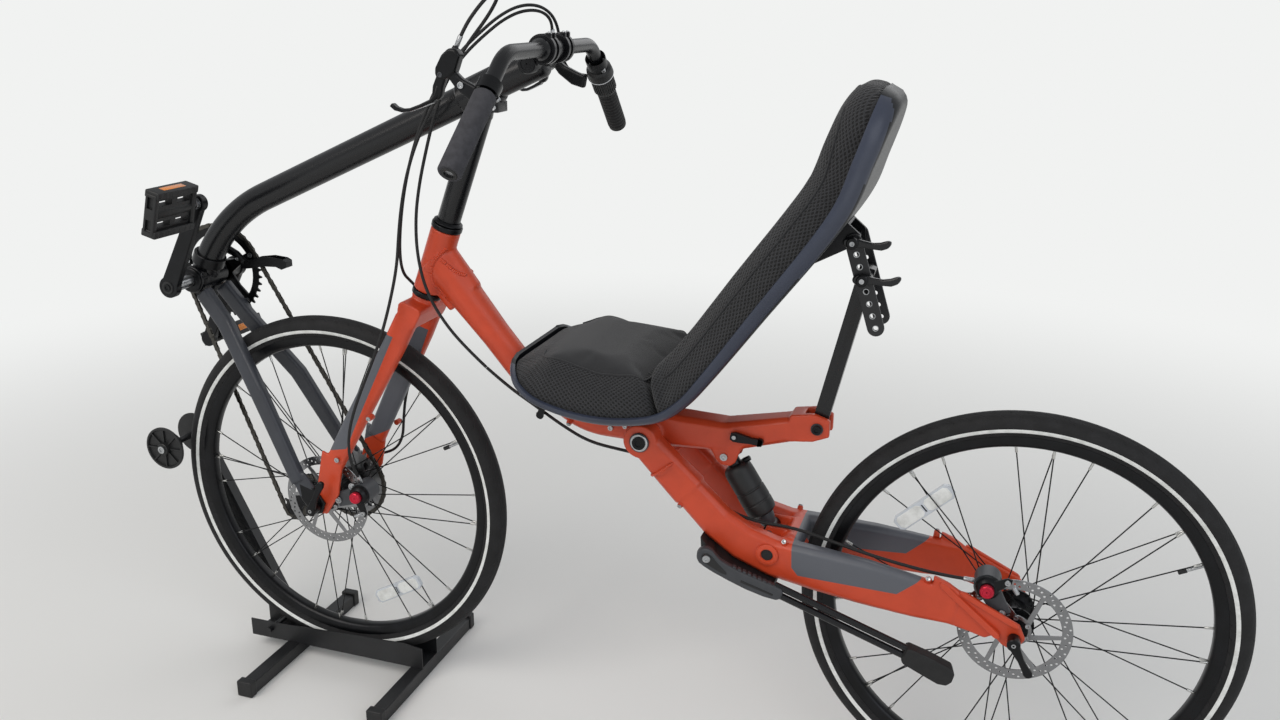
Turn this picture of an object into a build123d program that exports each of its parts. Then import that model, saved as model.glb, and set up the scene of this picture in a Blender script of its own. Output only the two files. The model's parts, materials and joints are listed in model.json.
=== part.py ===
"""Recumbent bicycle with front-wheel drive, parked with its front wheel in a floor stand.

Millimetres. X runs to the rear, Y to the rider's right and Z up. The floor is at Z 0. Points are
drawn with the front axle at X 0, and the finished solids are moved so that the origin lies on the
floor under the middle of the bicycle's length.
"""
import os
from math import acos, asin, atan2, cos, pi, radians, sin, sqrt, tan

from build123d import *

# Driving sizes, as on the real bicycle
wheelBase = 1144.0
tyreRadius = 318.0
tyreWidth = 38.0
rimRadius = 284.0
rimInner = 266.0
rimWidth = 25.0
frontLift = 27.5        # how far the stand lifts the front tyre off the floor
headAngle = 69.8        # steering axis above the horizontal
headPoint = (229.0, 830.0)      # top of the head tube, X and Z
headLength = 109.0
headRadius = 24.0
steererRadius = 14.3
headClearance = 2.2     # air between the steerer and the bore of the head tube
hubSpacing = 135.0      # between the inner faces of the dropouts
axleRadius = 5.0
skewerRadius = 2.5
bracketPoint = (-247.0, 713.0)  # centre of the bottom bracket
bracketRadius = 23.0
bracketWidth = 68.0
spindleRadius = 11.0
crankLength = 165.0
crankAngle = 62.5       # left crank above the horizontal, towards the rear
crankInner = 79.0       # inner face of each arm from the centre plane
crankThick = 13.0
pedalWide = 95.0
pedalLong = 75.0
pedalThick = 26.0
pedalInner = 12.0       # from the arm's outer face to the pedal
ringPlane = 46.0        # chainring and chain from the centre plane
ringTeeth = 40
sprocketTeeth = (32, 28, 25, 22, 20, 17, 15, 13)
wheelTeeth = 11         # of the two derailleur wheels
chainPitch = 12.7
chainWide = 5.0
chainDeep = 8.4
cassetteInner = 30.5    # inner face of the largest sprocket from the centre plane
cassettePitch = 4.0
sprocketThick = 1.8
boomRadius = 22.5
riserRadius = 18.5
barRadius = 11.1
barClampRadius = 15.9
gripRadius = 16.0
gripLength = {-1: 151.7, 1: 92.0}     # left and right
leverPlace = 152.0      # from the end of the bar to the brake lever
barPoint = (414.0, 1110.0)      # handlebar centre, X and Z
barBend = 160.0         # where each side of the bar turns down, from the centre plane
barEnd = (405.0, 312.0, 972.0)  # end of the right side
mainRadius = 29.0       # main tube at the head tube
mainTailRadius = 24.0   # main tube under the seat
pivotPoint = (576.0, 537.0)
pivotRadius = 17.0
legWide = 32.0          # swingarm leg across
legDeep = 48.0          # swingarm leg in the side view
shockTop = (699.0, 515.0)
shockFoot = (774.0, 398.0)
shockRadius = 23.0
tailEnd = (838.0, 578.0)        # where the strut stands on the frame's tail
seatWide = 300.0
seatTopWide = 190.0
shellThick = 6.0
strutSide = 22.0
rotorRadius = 80.0
rotorThick = 2.0
rotorPlane = -48.0
stayDeep = 30.0
stayWide = 18.0
standBarSide = 25.0
standBarLong = 316.0
standCapLong = 16.0
standSheet = 2.0
standInner = 52.0       # between the stand's side plates
discRadius = 40.0
kickLength = 382.0
kickAngle = 17.7        # folded leg below the horizontal
kickTilt = 0.2          # how far the pivot's axis leans out of the Y direction
seat = 0.3              # air between pieces that rest on each other
middleX = 548.0         # the point below which the origin lies

frontAxle = (0.0, tyreRadius + frontLift)
rearAxle = (sqrt(wheelBase**2 - frontLift**2), tyreRadius)
headDirection = (cos(radians(headAngle)), sin(radians(headAngle)))

parts = {}


def keep(name, *solids):
    """Store the solids of one sub-part."""
    parts[name] = [s for piece in solids for s in piece.solids()]


def at(x, z, y=0.0):
    """A point from its place in the side view and its distance from the centre plane."""
    return Vector(x, y, z)


def along(start, direction, distance):
    """A side-view point that lies a distance from another one."""
    return (start[0] + direction[0] * distance, start[1] + direction[1] * distance)


def between(start, end):
    """Unit direction and length from one side-view point to another."""
    dx, dz = end[0] - start[0], end[1] - start[1]
    length = sqrt(dx * dx + dz * dz)
    return (dx / length, dz / length), length


def rod(start, end, radius, endRadius=None, bore=0.0):
    """A round bar, cone or sleeve from one point to another."""
    start, end = Vector(start), Vector(end)
    span = end - start
    plane = Plane(origin=start, z_dir=span)
    base = (Align.CENTER, Align.CENTER, Align.MIN)
    if endRadius is None:
        solid = Cylinder(radius, span.length, align=base)
    else:
        solid = Cone(radius, endRadius, span.length, align=base)
    if bore:
        solid -= Cylinder(bore, span.length, align=base)
    return plane * solid


def tube(points, radius, bends):
    """A round tube of constant size along straight runs joined by tangent arcs."""
    path = FilletPolyline(*points, radius=bends)
    return sweep(Plane(origin=path @ 0, z_dir=path % 0) * Circle(radius), path=path)


def slab(outline, low, high, corner=0.0):
    """A plate with a side-view outline of (x, z) corners, from one Y to another."""
    if corner:
        edge = FilletPolyline(*outline, radius=corner, close=True)
    else:
        edge = Polyline(*outline, close=True)
    return extrude(Plane.XZ.offset(-high) * make_face(edge), high - low)


def disc(centre, radius, low, high, bore=0.0):
    """A round plate or sleeve across the bicycle, from one Y to another."""
    return rod(at(*centre, low), at(*centre, high), radius, bore=bore)


def ring(profile, centre):
    """A body of revolution about an axle, from (y, radius) corners."""
    face = Plane.YZ * make_face(Polyline(*profile, close=True))
    return Pos(centre[0], 0, centre[1]) * revolve(face, Axis.Y)


def beam(sections, corner):
    """A leg through sections of (x, z, y, across, deep), square to the run between them,
    with its corners cut off."""
    faces = []
    for i, (x, z, y, across, deep) in enumerate(sections):
        before, after = sections[max(i - 1, 0)], sections[min(i + 1, len(sections) - 1)]
        run = Vector(after[0] - before[0], after[2] - before[2], after[1] - before[1])
        plane = Plane(origin=at(x, z, y), x_dir=Vector(0, 1, 0).cross(run).cross(run), z_dir=run)
        a, d = across / 2, deep / 2
        c = 0.586 * min(corner, across * 0.45)
        outline = [(a, d - c), (a - c, d), (c - a, d), (-a, d - c), (-a, c - d), (c - a, -d), (a - c, -d), (a, c - d)]
        faces.append(plane * make_face(Polyline(*outline, close=True)))
    return loft(faces, ruled=True)


def moved(centre, points):
    """Side-view points given from a centre."""
    return [(centre[0] + x, centre[1] + z) for x, z in points]


def cord(points, thick):
    """A cable along a hand-chosen route, with arcs as large as its runs allow."""
    points = [Vector(p) for p in points]
    bends = []
    for a, b, c in zip(points, points[1:], points[2:]):
        turn = radians((b - a).get_angle(c - b))
        bends.append(0.45 * min((b - a).length, (c - b).length) / tan(turn / 2))
    print("cord radii", [round(r) for r in bends])
    path = FilletPolyline(*points, radius=bends)
    return sweep(Plane(origin=path @ 0, z_dir=path % 0) * RegularPolygon(thick / 2, 6), path=path)


def belt(wheels):
    """Points round wheels of (centre, radius, way, y), each with its heading in the side view.
    The way is 1 for anticlockwise and -1 for clockwise."""
    headings = []
    for (a, ra, wa, _), (b, rb, wb, _) in zip(wheels, wheels[1:] + wheels[:1]):
        dx, dz = b[0] - a[0], b[1] - a[1]
        headings.append(atan2(dz, dx) - asin((wb * rb - wa * ra) / sqrt(dx * dx + dz * dz)))
    points = []
    for i, (centre, radius, way, y) in enumerate(wheels):
        turn = (headings[i] - headings[i - 1]) * way % (2 * pi)
        steps = max(2, round(turn / (2 * acos(1 - beltSag / radius))))
        for k in range(steps + 1):
            h = headings[i - 1] + way * turn * k / steps
            points.append((centre[0] + way * radius * sin(h), centre[1] - way * radius * cos(h), y, h))
    return points


beltSag = 0.4


def mirrored(solid):
    """The same piece on the other side of the centre plane."""
    return mirror(solid, about=Plane.XZ)


# Floor stand: two square bars with rubber ends, a sheet-metal tray, one arm and two discs
frontBarX, rearBarX = -116.0, 144.0
barHalf = standBarLong / 2
keep("stand_bars", *[
    Pos(x, 0, standBarSide / 2) * (Box(standBarSide, standBarLong, standBarSide))
    for x in (frontBarX, rearBarX)])

capSide = standBarSide + 5
caps = []
for x in (frontBarX, rearBarX):
    for side in (-1, 1):
        cap = Pos(x, side * (barHalf + standCapLong / 2 + seat), capSide / 2) * Box(
            capSide, standCapLong, capSide)
        caps.append(fillet(cap.edges().filter_by(Axis.Y), 3))
keep("stand_caps", *caps)

trayBottom = standBarSide + seat
plateOutline = [(-205, trayBottom), (157, trayBottom), (157, trayBottom + 42), (120, trayBottom + 46),
                (-150, trayBottom + 34), (-205, trayBottom + 34)]
tray = slab(plateOutline, -standInner / 2 - standSheet, standInner / 2 + standSheet)
tray -= slab([(-206, trayBottom + standSheet), (160, trayBottom + standSheet), (160, 200), (-206, 200)],
             -standInner / 2, standInner / 2)
armFoot = (-162.0, 45.0)
keep("stand_tray", tray - disc(armFoot, 5 + seat, -60, 60))

discAxle = (-332.0, 397.0)
armPlane = standInner / 2 + standSheet + 10 + seat
armRun, armLength = between(armFoot, discAxle)
armTip = along(armFoot, armRun, armLength + 16)
armSides = [along(armFoot, (-armRun[1], armRun[0]), s) for s in (-12, 12)]
tipSides = [along(armTip, (-armRun[1], armRun[0]), s) for s in (-12, 12)]
arm = slab([armSides[0], tipSides[0], tipSides[1], armSides[1]], armPlane - 10, armPlane + 10)
arm += disc(armFoot, 14, armPlane - 10, armPlane + 10)
arm += disc(armFoot, 5, -standInner / 2 - standSheet - 8, armPlane)
discShaft = disc(discAxle, 6, -62, armPlane - 10 + 1)
keep("stand_arm", arm + discShaft)

discs = []
for side, inner, outer in ((-1, 28, 52), (1, 26, armPlane - 10 - seat)):
    cone = rod(at(*discAxle, side * inner), at(*discAxle, side * outer), discRadius * 0.45, discRadius)
    discs.append(cone - disc(discAxle, 6 + seat, -80, 80))
keep("stand_discs", *discs)


# Wheels
def wheel(prefix, axle):
    """Tyre, rim, spokes and hub about one axle."""
    half, rimHalf = tyreWidth / 2, rimWidth / 2
    bead = rimHalf - 2.3
    side = [(bead, rimRadius - 7), (bead, rimRadius + 1.5), (half, rimRadius + 11),
            (half - 2.5, tyreRadius - 8), (half - 11, tyreRadius)]
    keep(prefix + "_tyre", ring(side + [(-y, r) for y, r in reversed(side)], axle))
    rimSide = [(rimHalf - 6, rimInner), (rimHalf, rimInner + 6), (rimHalf, rimRadius),
               (rimHalf - 2, rimRadius), (rimHalf - 2, rimRadius - 7 - seat)]
    keep(prefix + "_rim", ring(rimSide + [(-y, r) for y, r in reversed(rimSide)], axle))


spokeRadius = 1.0
spokesPerSide = 16
flangeThick = 3.0
flangeLip = 3.5         # flange beyond the circle of spoke holes
rimSpread = 3.0         # spoke ends from the centre plane


def spokes(prefix, axle, flanges):
    """Laced spokes: every second one leaves the outer face of its flange."""
    solids = []
    for flange, (flangeY, holeRadius) in enumerate(flanges):
        outward = 1 if flangeY > 0 else -1
        for i in range(spokesPerSide):
            turn = 1 if i % 2 else -1
            hubAngle = 2 * pi * (i + flange / 2) / spokesPerSide
            rimAngle = hubAngle + turn * radians(62)
            edgeRun = sqrt((holeRadius + flangeLip) ** 2 - holeRadius**2)
            lean = edgeRun * (abs(flangeY) - rimSpread) / rimInner
            gap = flangeThick / 2 + spokeRadius + (lean + 0.2 if i % 4 < 2 else seat)
            lift = gap if i % 4 < 2 else -gap
            start = Vector(axle[0] + holeRadius * cos(hubAngle), flangeY + outward * lift,
                           axle[1] + holeRadius * sin(hubAngle))
            end = Vector(axle[0] + (rimInner - 0.6) * cos(rimAngle), outward * rimSpread,
                         axle[1] + (rimInner - 0.6) * sin(rimAngle))
            plane = Plane(origin=start, z_dir=end - start)
            solids.append(extrude(plane * RegularPolygon(spokeRadius, 6), (end - start).length))
    keep(prefix + "_spokes", *solids)


def hub(prefix, axle, flanges, shellRadius):
    """Hub shell with two flanges, end caps and a bored axle."""
    body = disc(axle, shellRadius, flanges[0][0], flanges[1][0])
    for flangeY, holeRadius in flanges:
        body += disc(axle, holeRadius + flangeLip, flangeY - flangeThick / 2, flangeY + flangeThick / 2)
    body += disc(axle, 9, -hubSpacing / 2 + seat, hubSpacing / 2 - seat)
    keep(prefix + "_hub", body - disc(axle, skewerRadius + seat, -hubSpacing, hubSpacing))


flanges = ((-32.0, 24.0), (22.0, 24.0))
for prefix, axle in (("front", frontAxle), ("rear", rearAxle)):
    wheel(prefix, axle)
    spokes(prefix, axle, flanges)
    hub(prefix, axle, flanges, 15.0)


def rotor(prefix, axle):
    """Brake rotor: a vented braking ring on a carrier with arms."""
    low, high = rotorPlane - rotorThick / 2, rotorPlane + rotorThick / 2
    plate = disc(axle, rotorRadius, low, high, bore=rotorRadius - 15)
    carrier = disc(axle, 24, low, high)
    for i in range(6):
        spin = radians(60 * i)
        reach = along(axle, (cos(spin), sin(spin)), rotorRadius - 12)
        root = along(axle, (cos(spin - 0.5), sin(spin - 0.5)), 20)
        (ux, uz), length = between(root, reach)
        corners = [along(p, (-uz, ux), s) for p, s in ((root, 4), (root, -4), (reach, -3), (reach, 3))]
        carrier += slab(corners, low, high)
    keep(prefix + "_rotor", plate + carrier - disc(axle, 9 + seat, -80, 80))


rotor("front", frontAxle)
rotor("rear", rearAxle)


def reflector(prefix, axle, angle):
    """A narrow lens between the two sets of spokes, along the rim."""
    spin = radians(angle)
    d, n = (cos(spin), sin(spin)), (-sin(spin), cos(spin))
    root, tip = along(axle, d, reflectorPlace - 19), along(axle, d, reflectorPlace + 19)
    half = reflectorLong / 2
    corners = [along(root, n, -half + 10), along(tip, n, -half), along(tip, n, half), along(root, n, half - 10)]
    keep(prefix + "_reflector", slab(corners, -5.2, 4.0, 6))


reflectorLong = 108.0
reflectorPlace = 208.0  # middle of the lens from the axle
reflector("front", frontAxle, -60.8)
reflector("rear", rearAxle, 133.6)

# Cassette: a stack of sprockets on the right of the front hub
def pitch(teeth):
    """Pitch radius of a chainwheel."""
    return chainPitch / (2 * sin(pi / teeth))


chainAir = chainDeep / 2 + beltSag + seat       # from the pitch circle down to the wheel's edge


def cog(centre, teeth, low, high):
    """A chainwheel's plate, with one flat for each tooth."""
    edge = pitch(teeth) - chainAir
    return slab([along(centre, (cos(2 * pi * k / teeth), sin(2 * pi * k / teeth)), edge) for k in range(teeth)],
                low, high)


cassetteOuter = cassetteInner + len(sprocketTeeth) * cassettePitch
cassette = disc(frontAxle, 18, cassetteInner, cassetteOuter)
for i, teeth in enumerate(sprocketTeeth):
    y = cassetteInner + i * cassettePitch
    cassette += cog(frontAxle, teeth, y, y + sprocketThick)
keep("cassette", cassette - disc(frontAxle, 9.5, 0, 80))


# Fork: crown, two blades and dropout plates, with the steerer through the head tube
headBottom = along(headPoint, headDirection, -headLength)
steerTop = along(headPoint, headDirection, 55)
bladeWide, bladeDeep = 20.0, 38.0
bladeTop = moved(headBottom, [(-17.4, -39.7), (-41.4, -87.7)])
bladeLow = moved(frontAxle, [(78, 162.5), (34, 79.5)])
blade = beam([(*bladeTop[0], 42, bladeWide, bladeDeep), (*bladeTop[1], 47, bladeWide, bladeDeep),
              (*bladeLow[0], 60, bladeWide, 36), (*bladeLow[1], 67, 14, 34)], 8)
dropInner = hubSpacing / 2
dropThick = 6.0
dropout = slab(moved(frontAxle, [(14, 102.5), (52, 84.5), (40, 24.5), (14, -15.5), (-14, -15.5), (-16, 10.5),
                                 (0, 39.5)]), dropInner, dropInner + dropThick)
legs = blade + dropout
crownTop, crownLow = (along(headBottom, headDirection, -s) for s in (17, 56))
headSquare = (-headDirection[1], headDirection[0])
crownBlock = slab([along(crownTop, headSquare, -22), along(crownTop, headSquare, 22),
                   along(crownLow, headSquare, 16), along(crownLow, headSquare, -16)], -51, 51, 8)
steerer = rod(at(*along(headBottom, headDirection, -18)), at(*steerTop), steererRadius)
forkBody = crownBlock + legs + mirrored(legs) + steerer
race = rod(at(*along(headBottom, headDirection, -16)), at(*along(headBottom, headDirection, -9.6)), 23,
           bore=steererRadius + seat)
keep("fork", forkBody - disc(frontAxle, axleRadius, -100, 100), race)

# Chainstays: two flat-sided bars from the bottom bracket to the front axle, outside the fork
stayInner = dropInner + dropThick + seat
stayTop = moved(bracketPoint, [(16, -21), (58, -73)])
stayMiddle = ((bracketPoint[0] + frontAxle[0]) / 2 + 10.5, (bracketPoint[1] + frontAxle[1]) / 2 + 4)
stayFoot = (frontAxle[0] - 34, frontAxle[1] + 40.5)
stay = beam([(*stayTop[0], 26, stayWide, stayDeep), (*stayTop[1], 29, stayWide, stayDeep),
             (*stayMiddle, 58, stayWide, stayDeep), (*stayFoot, 76, stayWide, stayDeep - 4)], 6)
stayPlate = slab(moved(frontAxle, [(-50, 49.5), (-22, 59.5), (16, 6.5), (8, -13.5), (-10, -15.5), (-30, 6.5)]),
                 stayInner, stayInner + dropThick)
stays = stay + stayPlate
keep("chainstays", *[s - disc(frontAxle, axleRadius, -120, 120) - disc(bracketPoint, bracketRadius + seat, -60, 60)
                     for s in (stays, mirrored(stays))])

# Bottom bracket shell and the boom that rises from it to the handlebar
shell = disc(bracketPoint, bracketRadius, -bracketWidth / 2, bracketWidth / 2, bore=spindleRadius + seat)
keep("bottom_bracket", shell)
boomEnd = (barPoint[0] - 22, barPoint[1] - 22.5)
boomFoot, boomKnee = moved(bracketPoint, [(-12, -23), (49, 106)])
boomBend = 270.0
boom = tube([at(*boomFoot), at(*boomKnee), at(*boomEnd)], boomRadius, boomBend)
keep("boom", boom - disc(bracketPoint, bracketRadius + seat, -60, 60))

# Riser: the tube on the steering axis that carries the boom, with its clamp
riserFoot = along(headPoint, headDirection, 9.6)
riserTop = along(headPoint, headDirection, 190)
boomDirection, _ = between(boomKnee, boomEnd)
saddle = along(boomKnee, boomDirection, 545)
riser = rod(at(*riserFoot), at(*riserTop), riserRadius)
riser += rod(at(*riserTop), at(*along(saddle, boomDirection, 0)), 20)
riser += rod(at(*along(saddle, boomDirection, -32)), at(*along(saddle, boomDirection, 32)), boomRadius + 5)
riser -= rod(at(*along(saddle, boomDirection, -60)), at(*along(saddle, boomDirection, 60)), boomRadius + seat)
riser -= rod(at(*headPoint), at(*along(headPoint, headDirection, 56)), steererRadius + seat)
keep("riser", riser)

# Handlebar, its clamp at the end of the boom, and the grips
barCentre = (barPoint[0], barPoint[1])
barEnds = {side: at(barEnd[0], barEnd[2], side * barEnd[1]) for side in (-1, 1)}
barBends = {side: at(*barCentre, side * barBend) for side in (-1, 1)}
barPath = [barEnds[-1], barBends[-1], barBends[1], barEnds[1]]
bar = tube(barPath, barRadius, 60)
bar += disc(barCentre, barClampRadius, -45, 45)
keep("handlebar", bar)

clamps = rod(at(*boomEnd), at(*along(boomEnd, boomDirection, 12)), boomRadius + 2)
clamps += disc(barCentre, barClampRadius + 8, -40, -14) + disc(barCentre, barClampRadius + 8, 14, 40)
clamps -= disc(barCentre, barClampRadius + seat, -60, 60)
keep("bar_clamps", clamps)

leverRoot, leverTip = (340.0, 1096.0), (272.0, 1034.0)
leverSpread = 172.0     # lever pivots from the centre plane
grips, shifters, levers = [], [], []
for side in (-1, 1):
    end, bend = barEnds[side], barBends[side]
    back = (bend - end).normalized()
    outer = end - back * 3
    inner = end + back * gripLength[side]
    grips.append(rod(outer, inner, gripRadius) - rod(end - back * 0.01, inner + back, barRadius + seat))
    shifterEnd = end + back * leverPlace
    if side > 0:
        shifters.append(rod(inner + back * seat, shifterEnd, gripRadius, 19) - rod(inner, shifterEnd + back, barRadius + seat))
    hold = shifterEnd + back * 12
    lever = rod(shifterEnd + back * seat, shifterEnd + back * 24, 16)
    root = at(*leverRoot, side * leverSpread)
    lever += beam([(hold.X - 6, hold.Z, hold.Y, 18, 22), (root.X, root.Z, root.Y, 15, 22)], 4)
    lever += beam([(root.X + 12, root.Z - 6, side * (leverSpread + 2), 12, 16),
                   (root.X - 26, root.Z - 24, side * (leverSpread + 16), 9, 14),
                   (*leverTip, side * (leverSpread + 30), 8, 13)], 4)
    lever += rod(root + Vector(2, 0, 6), root + Vector(9, 0, 22) if side < 0 else root + Vector(3, 0, 22), 4)
    levers.append(lever - tube(barPath, barRadius + seat, 60))
keep("grips", *grips)
keep("shifters", *shifters)
keep("brake_levers", *levers)

# Crankset
spin = radians(crankAngle)
crankEnd = {-1: along(bracketPoint, (cos(spin), sin(spin)), crankLength),
            1: along(bracketPoint, (-cos(spin), -sin(spin)), crankLength)}
keep("crank_spindle", disc(bracketPoint, spindleRadius, -crankInner + seat, crankInner - seat))
for side, name in ((-1, "crank_left"), (1, "crank_right")):
    run, _ = between(bracketPoint, crankEnd[side])
    n = (-run[1], run[0])
    outline = [along(bracketPoint, n, 15), along(crankEnd[side], n, 11),
               along(crankEnd[side], n, -11), along(bracketPoint, n, -15)]
    low, high = sorted((side * crankInner, side * (crankInner + crankThick)))
    arm = slab(outline, low, high)
    arm += disc(bracketPoint, 18, low, high) + disc(crankEnd[side], 14, low, high)
    keep(name, arm)

pitchRadius = pitch(ringTeeth)
ringPlate = cog(bracketPoint, ringTeeth, ringPlane - 1.5, ringPlane + 1.5)
ringPlate -= disc(bracketPoint, pitchRadius - 17, ringPlane - 5, ringPlane + 5)
for i in range(5):
    spin5 = radians(crankAngle + 180 + 72 * i)
    d = (cos(spin5), sin(spin5))
    n = (-d[1], d[0])
    near, far = along(bracketPoint, d, 10), along(bracketPoint, d, pitchRadius - 11)
    ringPlate += slab([along(near, n, 10), along(far, n, 6), along(far, n, -6), along(near, n, -10)],
                      ringPlane - 1.5, ringPlane + 3.5)
ringPlate += disc(bracketPoint, 18, ringPlane - 1.5, crankInner - seat)
keep("chainring", ringPlate - disc(bracketPoint, spindleRadius + seat, -80, 80))

for side, name, tilt in ((-1, "pedal_left", 75.0), (1, "pedal_right", 20.0)):
    inner = crankInner + crankThick + pedalInner
    centre = crankEnd[side]
    body = Box(pedalLong, pedalWide, pedalThick)
    body -= Box(pedalLong - 18, pedalWide - 24, pedalThick + 2)
    body += Box(22, pedalWide, 20)
    body = Pos(centre[0], side * (inner + pedalWide / 2), centre[1]) * Rot(0, -tilt, 0) * body
    pin = disc(centre, 6, *sorted((side * (crankInner + crankThick + seat), side * (inner + 5))))
    keep(name, body + pin)

# Chain: a closed band round the ring, the large sprocket and the derailleur's two wheels
chainPlane = cassetteInner + sprocketThick / 2
guideWheel, tensionWheel = moved(frontAxle, [(-86, -24), (-127, -70)])
loop = belt([(bracketPoint, pitch(ringTeeth), -1, ringPlane), (frontAxle, pitch(sprocketTeeth[0]), -1, chainPlane),
             (guideWheel, pitch(wheelTeeth), 1, chainPlane), (tensionWheel, pitch(wheelTeeth), -1, chainPlane)])
links = [Plane(origin=at(x, z, y), x_dir=(0, 1, 0), z_dir=(cos(h), 0, sin(h))) * Rectangle(chainWide, chainDeep)
         for x, z, y, h in loop]
half = len(links) // 2
keep("chain", loft(links[:half + 1], ruled=True) + loft(links[half:] + links[:1], ruled=True))

# Rear derailleur: two wheels in a cage, with a link to the right end of the fork
keep("derailleur_wheels", *[cog(w, wheelTeeth, chainPlane - 2, chainPlane + 2) - disc(w, 3 + seat, 0, 60)
                            for w in (guideWheel, tensionWheel)])
cageRun, _ = between(guideWheel, tensionWheel)
cageSide = (-cageRun[1], cageRun[0])
cageOutline = [along(along(w, cageRun, s * lengthwise), cageSide, sideways)
               for w, s, pairs in ((guideWheel, -1, ((12, -6), (12, 6), (4, 12))),
                                   (tensionWheel, 1, ((4, 12), (12, 6), (12, -6), (4, -12))),
                                   (guideWheel, -1, ((4, -12),)))
               for lengthwise, sideways in pairs]
derailleur = disc(guideWheel, 3, chainPlane - 5, chainPlane + 5) + disc(tensionWheel, 3, chainPlane - 5, chainPlane + 5)
for low, high in ((-5.2, -3.7), (3.7, 5.2)):
    derailleur += slab(cageOutline, chainPlane + low, chainPlane + high)
hangerPoint = (frontAxle[0] - 32, frontAxle[1] + 31)
hangerFace = stayInner + dropThick + seat
derailleur += disc(guideWheel, 11, chainPlane + 5, chainPlane + 20)
derailleur += disc(hangerPoint, 7, hangerFace, hangerFace + 8) + disc(hangerPoint, 10, hangerFace + 5.5, hangerFace + 17)
derailleur += beam([(hangerPoint[0] - 4, hangerPoint[1] - 3, hangerFace + 12.5, 12, 14),
                    (guideWheel[0] + 4, guideWheel[1] + 6, chainPlane + 14, 12, 16)], 4)
keep("rear_derailleur", derailleur)

# Front derailleur: a cage over the chain's rear run, with a clamp on the boom
cage = moved(bracketPoint, [(47, 9), (51, 29), (97, 39), (135, 29), (141, 15), (97, 9)])
shifter = slab(cage, 36.8, 38.2) + slab(cage, 54.6, 56.0)
shifter += slab(moved(bracketPoint, [(131, 16), (131, 28), (139, 26), (139, 17)]), 37, 55)
shifter += slab(moved(bracketPoint, [(10, 30), (60, 22), (60, 38), (14, 46)]), 18, 37.5)
boomRun, _ = between(boomFoot, boomKnee)
shifter += rod(at(*along(boomFoot, boomRun, 52)), at(*along(boomFoot, boomRun, 70)), boomRadius + 5)
shifter -= tube([at(*boomFoot), at(*boomKnee), at(*boomEnd)], boomRadius + seat, boomBend)
keep("front_derailleur", shifter - disc(bracketPoint, bracketRadius + seat, -40, 36))

# Main frame: head tube, main tube and tail
bottleBosses = ((454.0, 556.0), (515.7, 539.0))
bossFace, bossHole, bossDepth = 25.5, 2.1, 10.0
mainKnee = (360.0, 606.0)
mainLow = (470.0, 540.0)
mainStart = along(headPoint, headDirection, -52)
kneeRun, kneeLength = between(mainStart, mainKnee)
coneEnd = along(mainStart, kneeRun, kneeLength - 75)
frame = rod(at(*headBottom), at(*headPoint), headRadius)
frame += rod(at(*mainStart), at(*coneEnd), mainRadius + 2, mainTailRadius)
frame += tube([at(*coneEnd), at(*mainKnee), at(*mainLow), at(*pivotPoint)], mainTailRadius, 120)
frame += disc(pivotPoint, 25, -28, 28)
tail = beam([(pivotPoint[0] - 1, pivotPoint[1] + 8, 0, 50, 56), (shockTop[0] + 1, shockTop[1] + 30, 0, 50, 46),
             (tailEnd[0] - 32, tailEnd[1] - 6, 0, 44, 38)], 12)
tailEars = slab(moved(tailEnd, [(-42, -26), (-42, 16), (-6, 22), (18, 14), (18, -12), (-6, -22)]), -22, 22)
frame += tail + (tailEars - Pos(tailEnd[0] + 30, 0, tailEnd[1] - 8) * Box(100, strutSide + 2 * seat, 90))
shockEars = slab(moved(shockTop, [(-39, 40), (31, 30), (18, -8), (10, -15), (-4, -15), (-12, -8)]), -24, 24)
shockEars -= Pos(shockTop[0] + 1, 0, shockTop[1] - 15) * Box(90, 36, 56)
frame += shockEars
frame -= rod(at(*along(headBottom, headDirection, -30)), at(*along(headPoint, headDirection, 20)),
             steererRadius + headClearance)
for boss in bottleBosses:
    frame += disc(boss, 6, -bossFace, -12)
    frame -= disc(boss, bossHole, -bossFace - 1, -bossFace + bossDepth)
frame -= disc(tailEnd, 4 + seat, -40, 40) + disc(shockTop, 14, -17.5, 17.5)
keep("main_frame", frame - disc(pivotPoint, 8 + seat, -60, 60))

headset = []
for end, way in ((headBottom, -1), (headPoint, 1)):
    low = along(end, headDirection, way * seat)
    high = along(end, headDirection, way * 9)
    headset.append(rod(at(*low), at(*high), 25, bore=steererRadius + headClearance))
keep("headset_cups", *headset)

# Swingarm: a pivot socket and a bent leg on each side, with a bridge behind the shock
legPlane = 47.0
legRows = [     # share of the way from pivot to axle, rise off that line, Y, across, deep
    (0.113, -36.3, 47.0, 32.0, 50.0), (0.218, -71.2, 48.5, 32.0, 54.0), (0.289, -80.7, 50.0, 32.0, 58.0),
    (0.377, -77.4, 53.0, 32.0, 62.0), (0.500, -57.4, 58.0, 30.0, 68.0), (0.624, -36.4, 63.0, 26.0, 70.0),
    (0.756, -14.5, 69.0, 20.0, 64.0), (0.853, 1.7, 73.0, 13.0, 54.0)]
legSections = [(pivotPoint[0] + t * (rearAxle[0] - pivotPoint[0]),
                pivotPoint[1] + t * (rearAxle[1] - pivotPoint[1]) + rise, y, across, deep)
               for t, rise, y, across, deep in legRows]


def legUnder(i, gap):
    """A point that lies a gap under a section of the swingarm's leg."""
    (ux, uz), _ = between(legSections[i - 1], legSections[i + 1])
    x, z, _, _, deep = legSections[i]
    return along((x, z), (uz, -ux), deep / 2 + gap)


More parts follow.
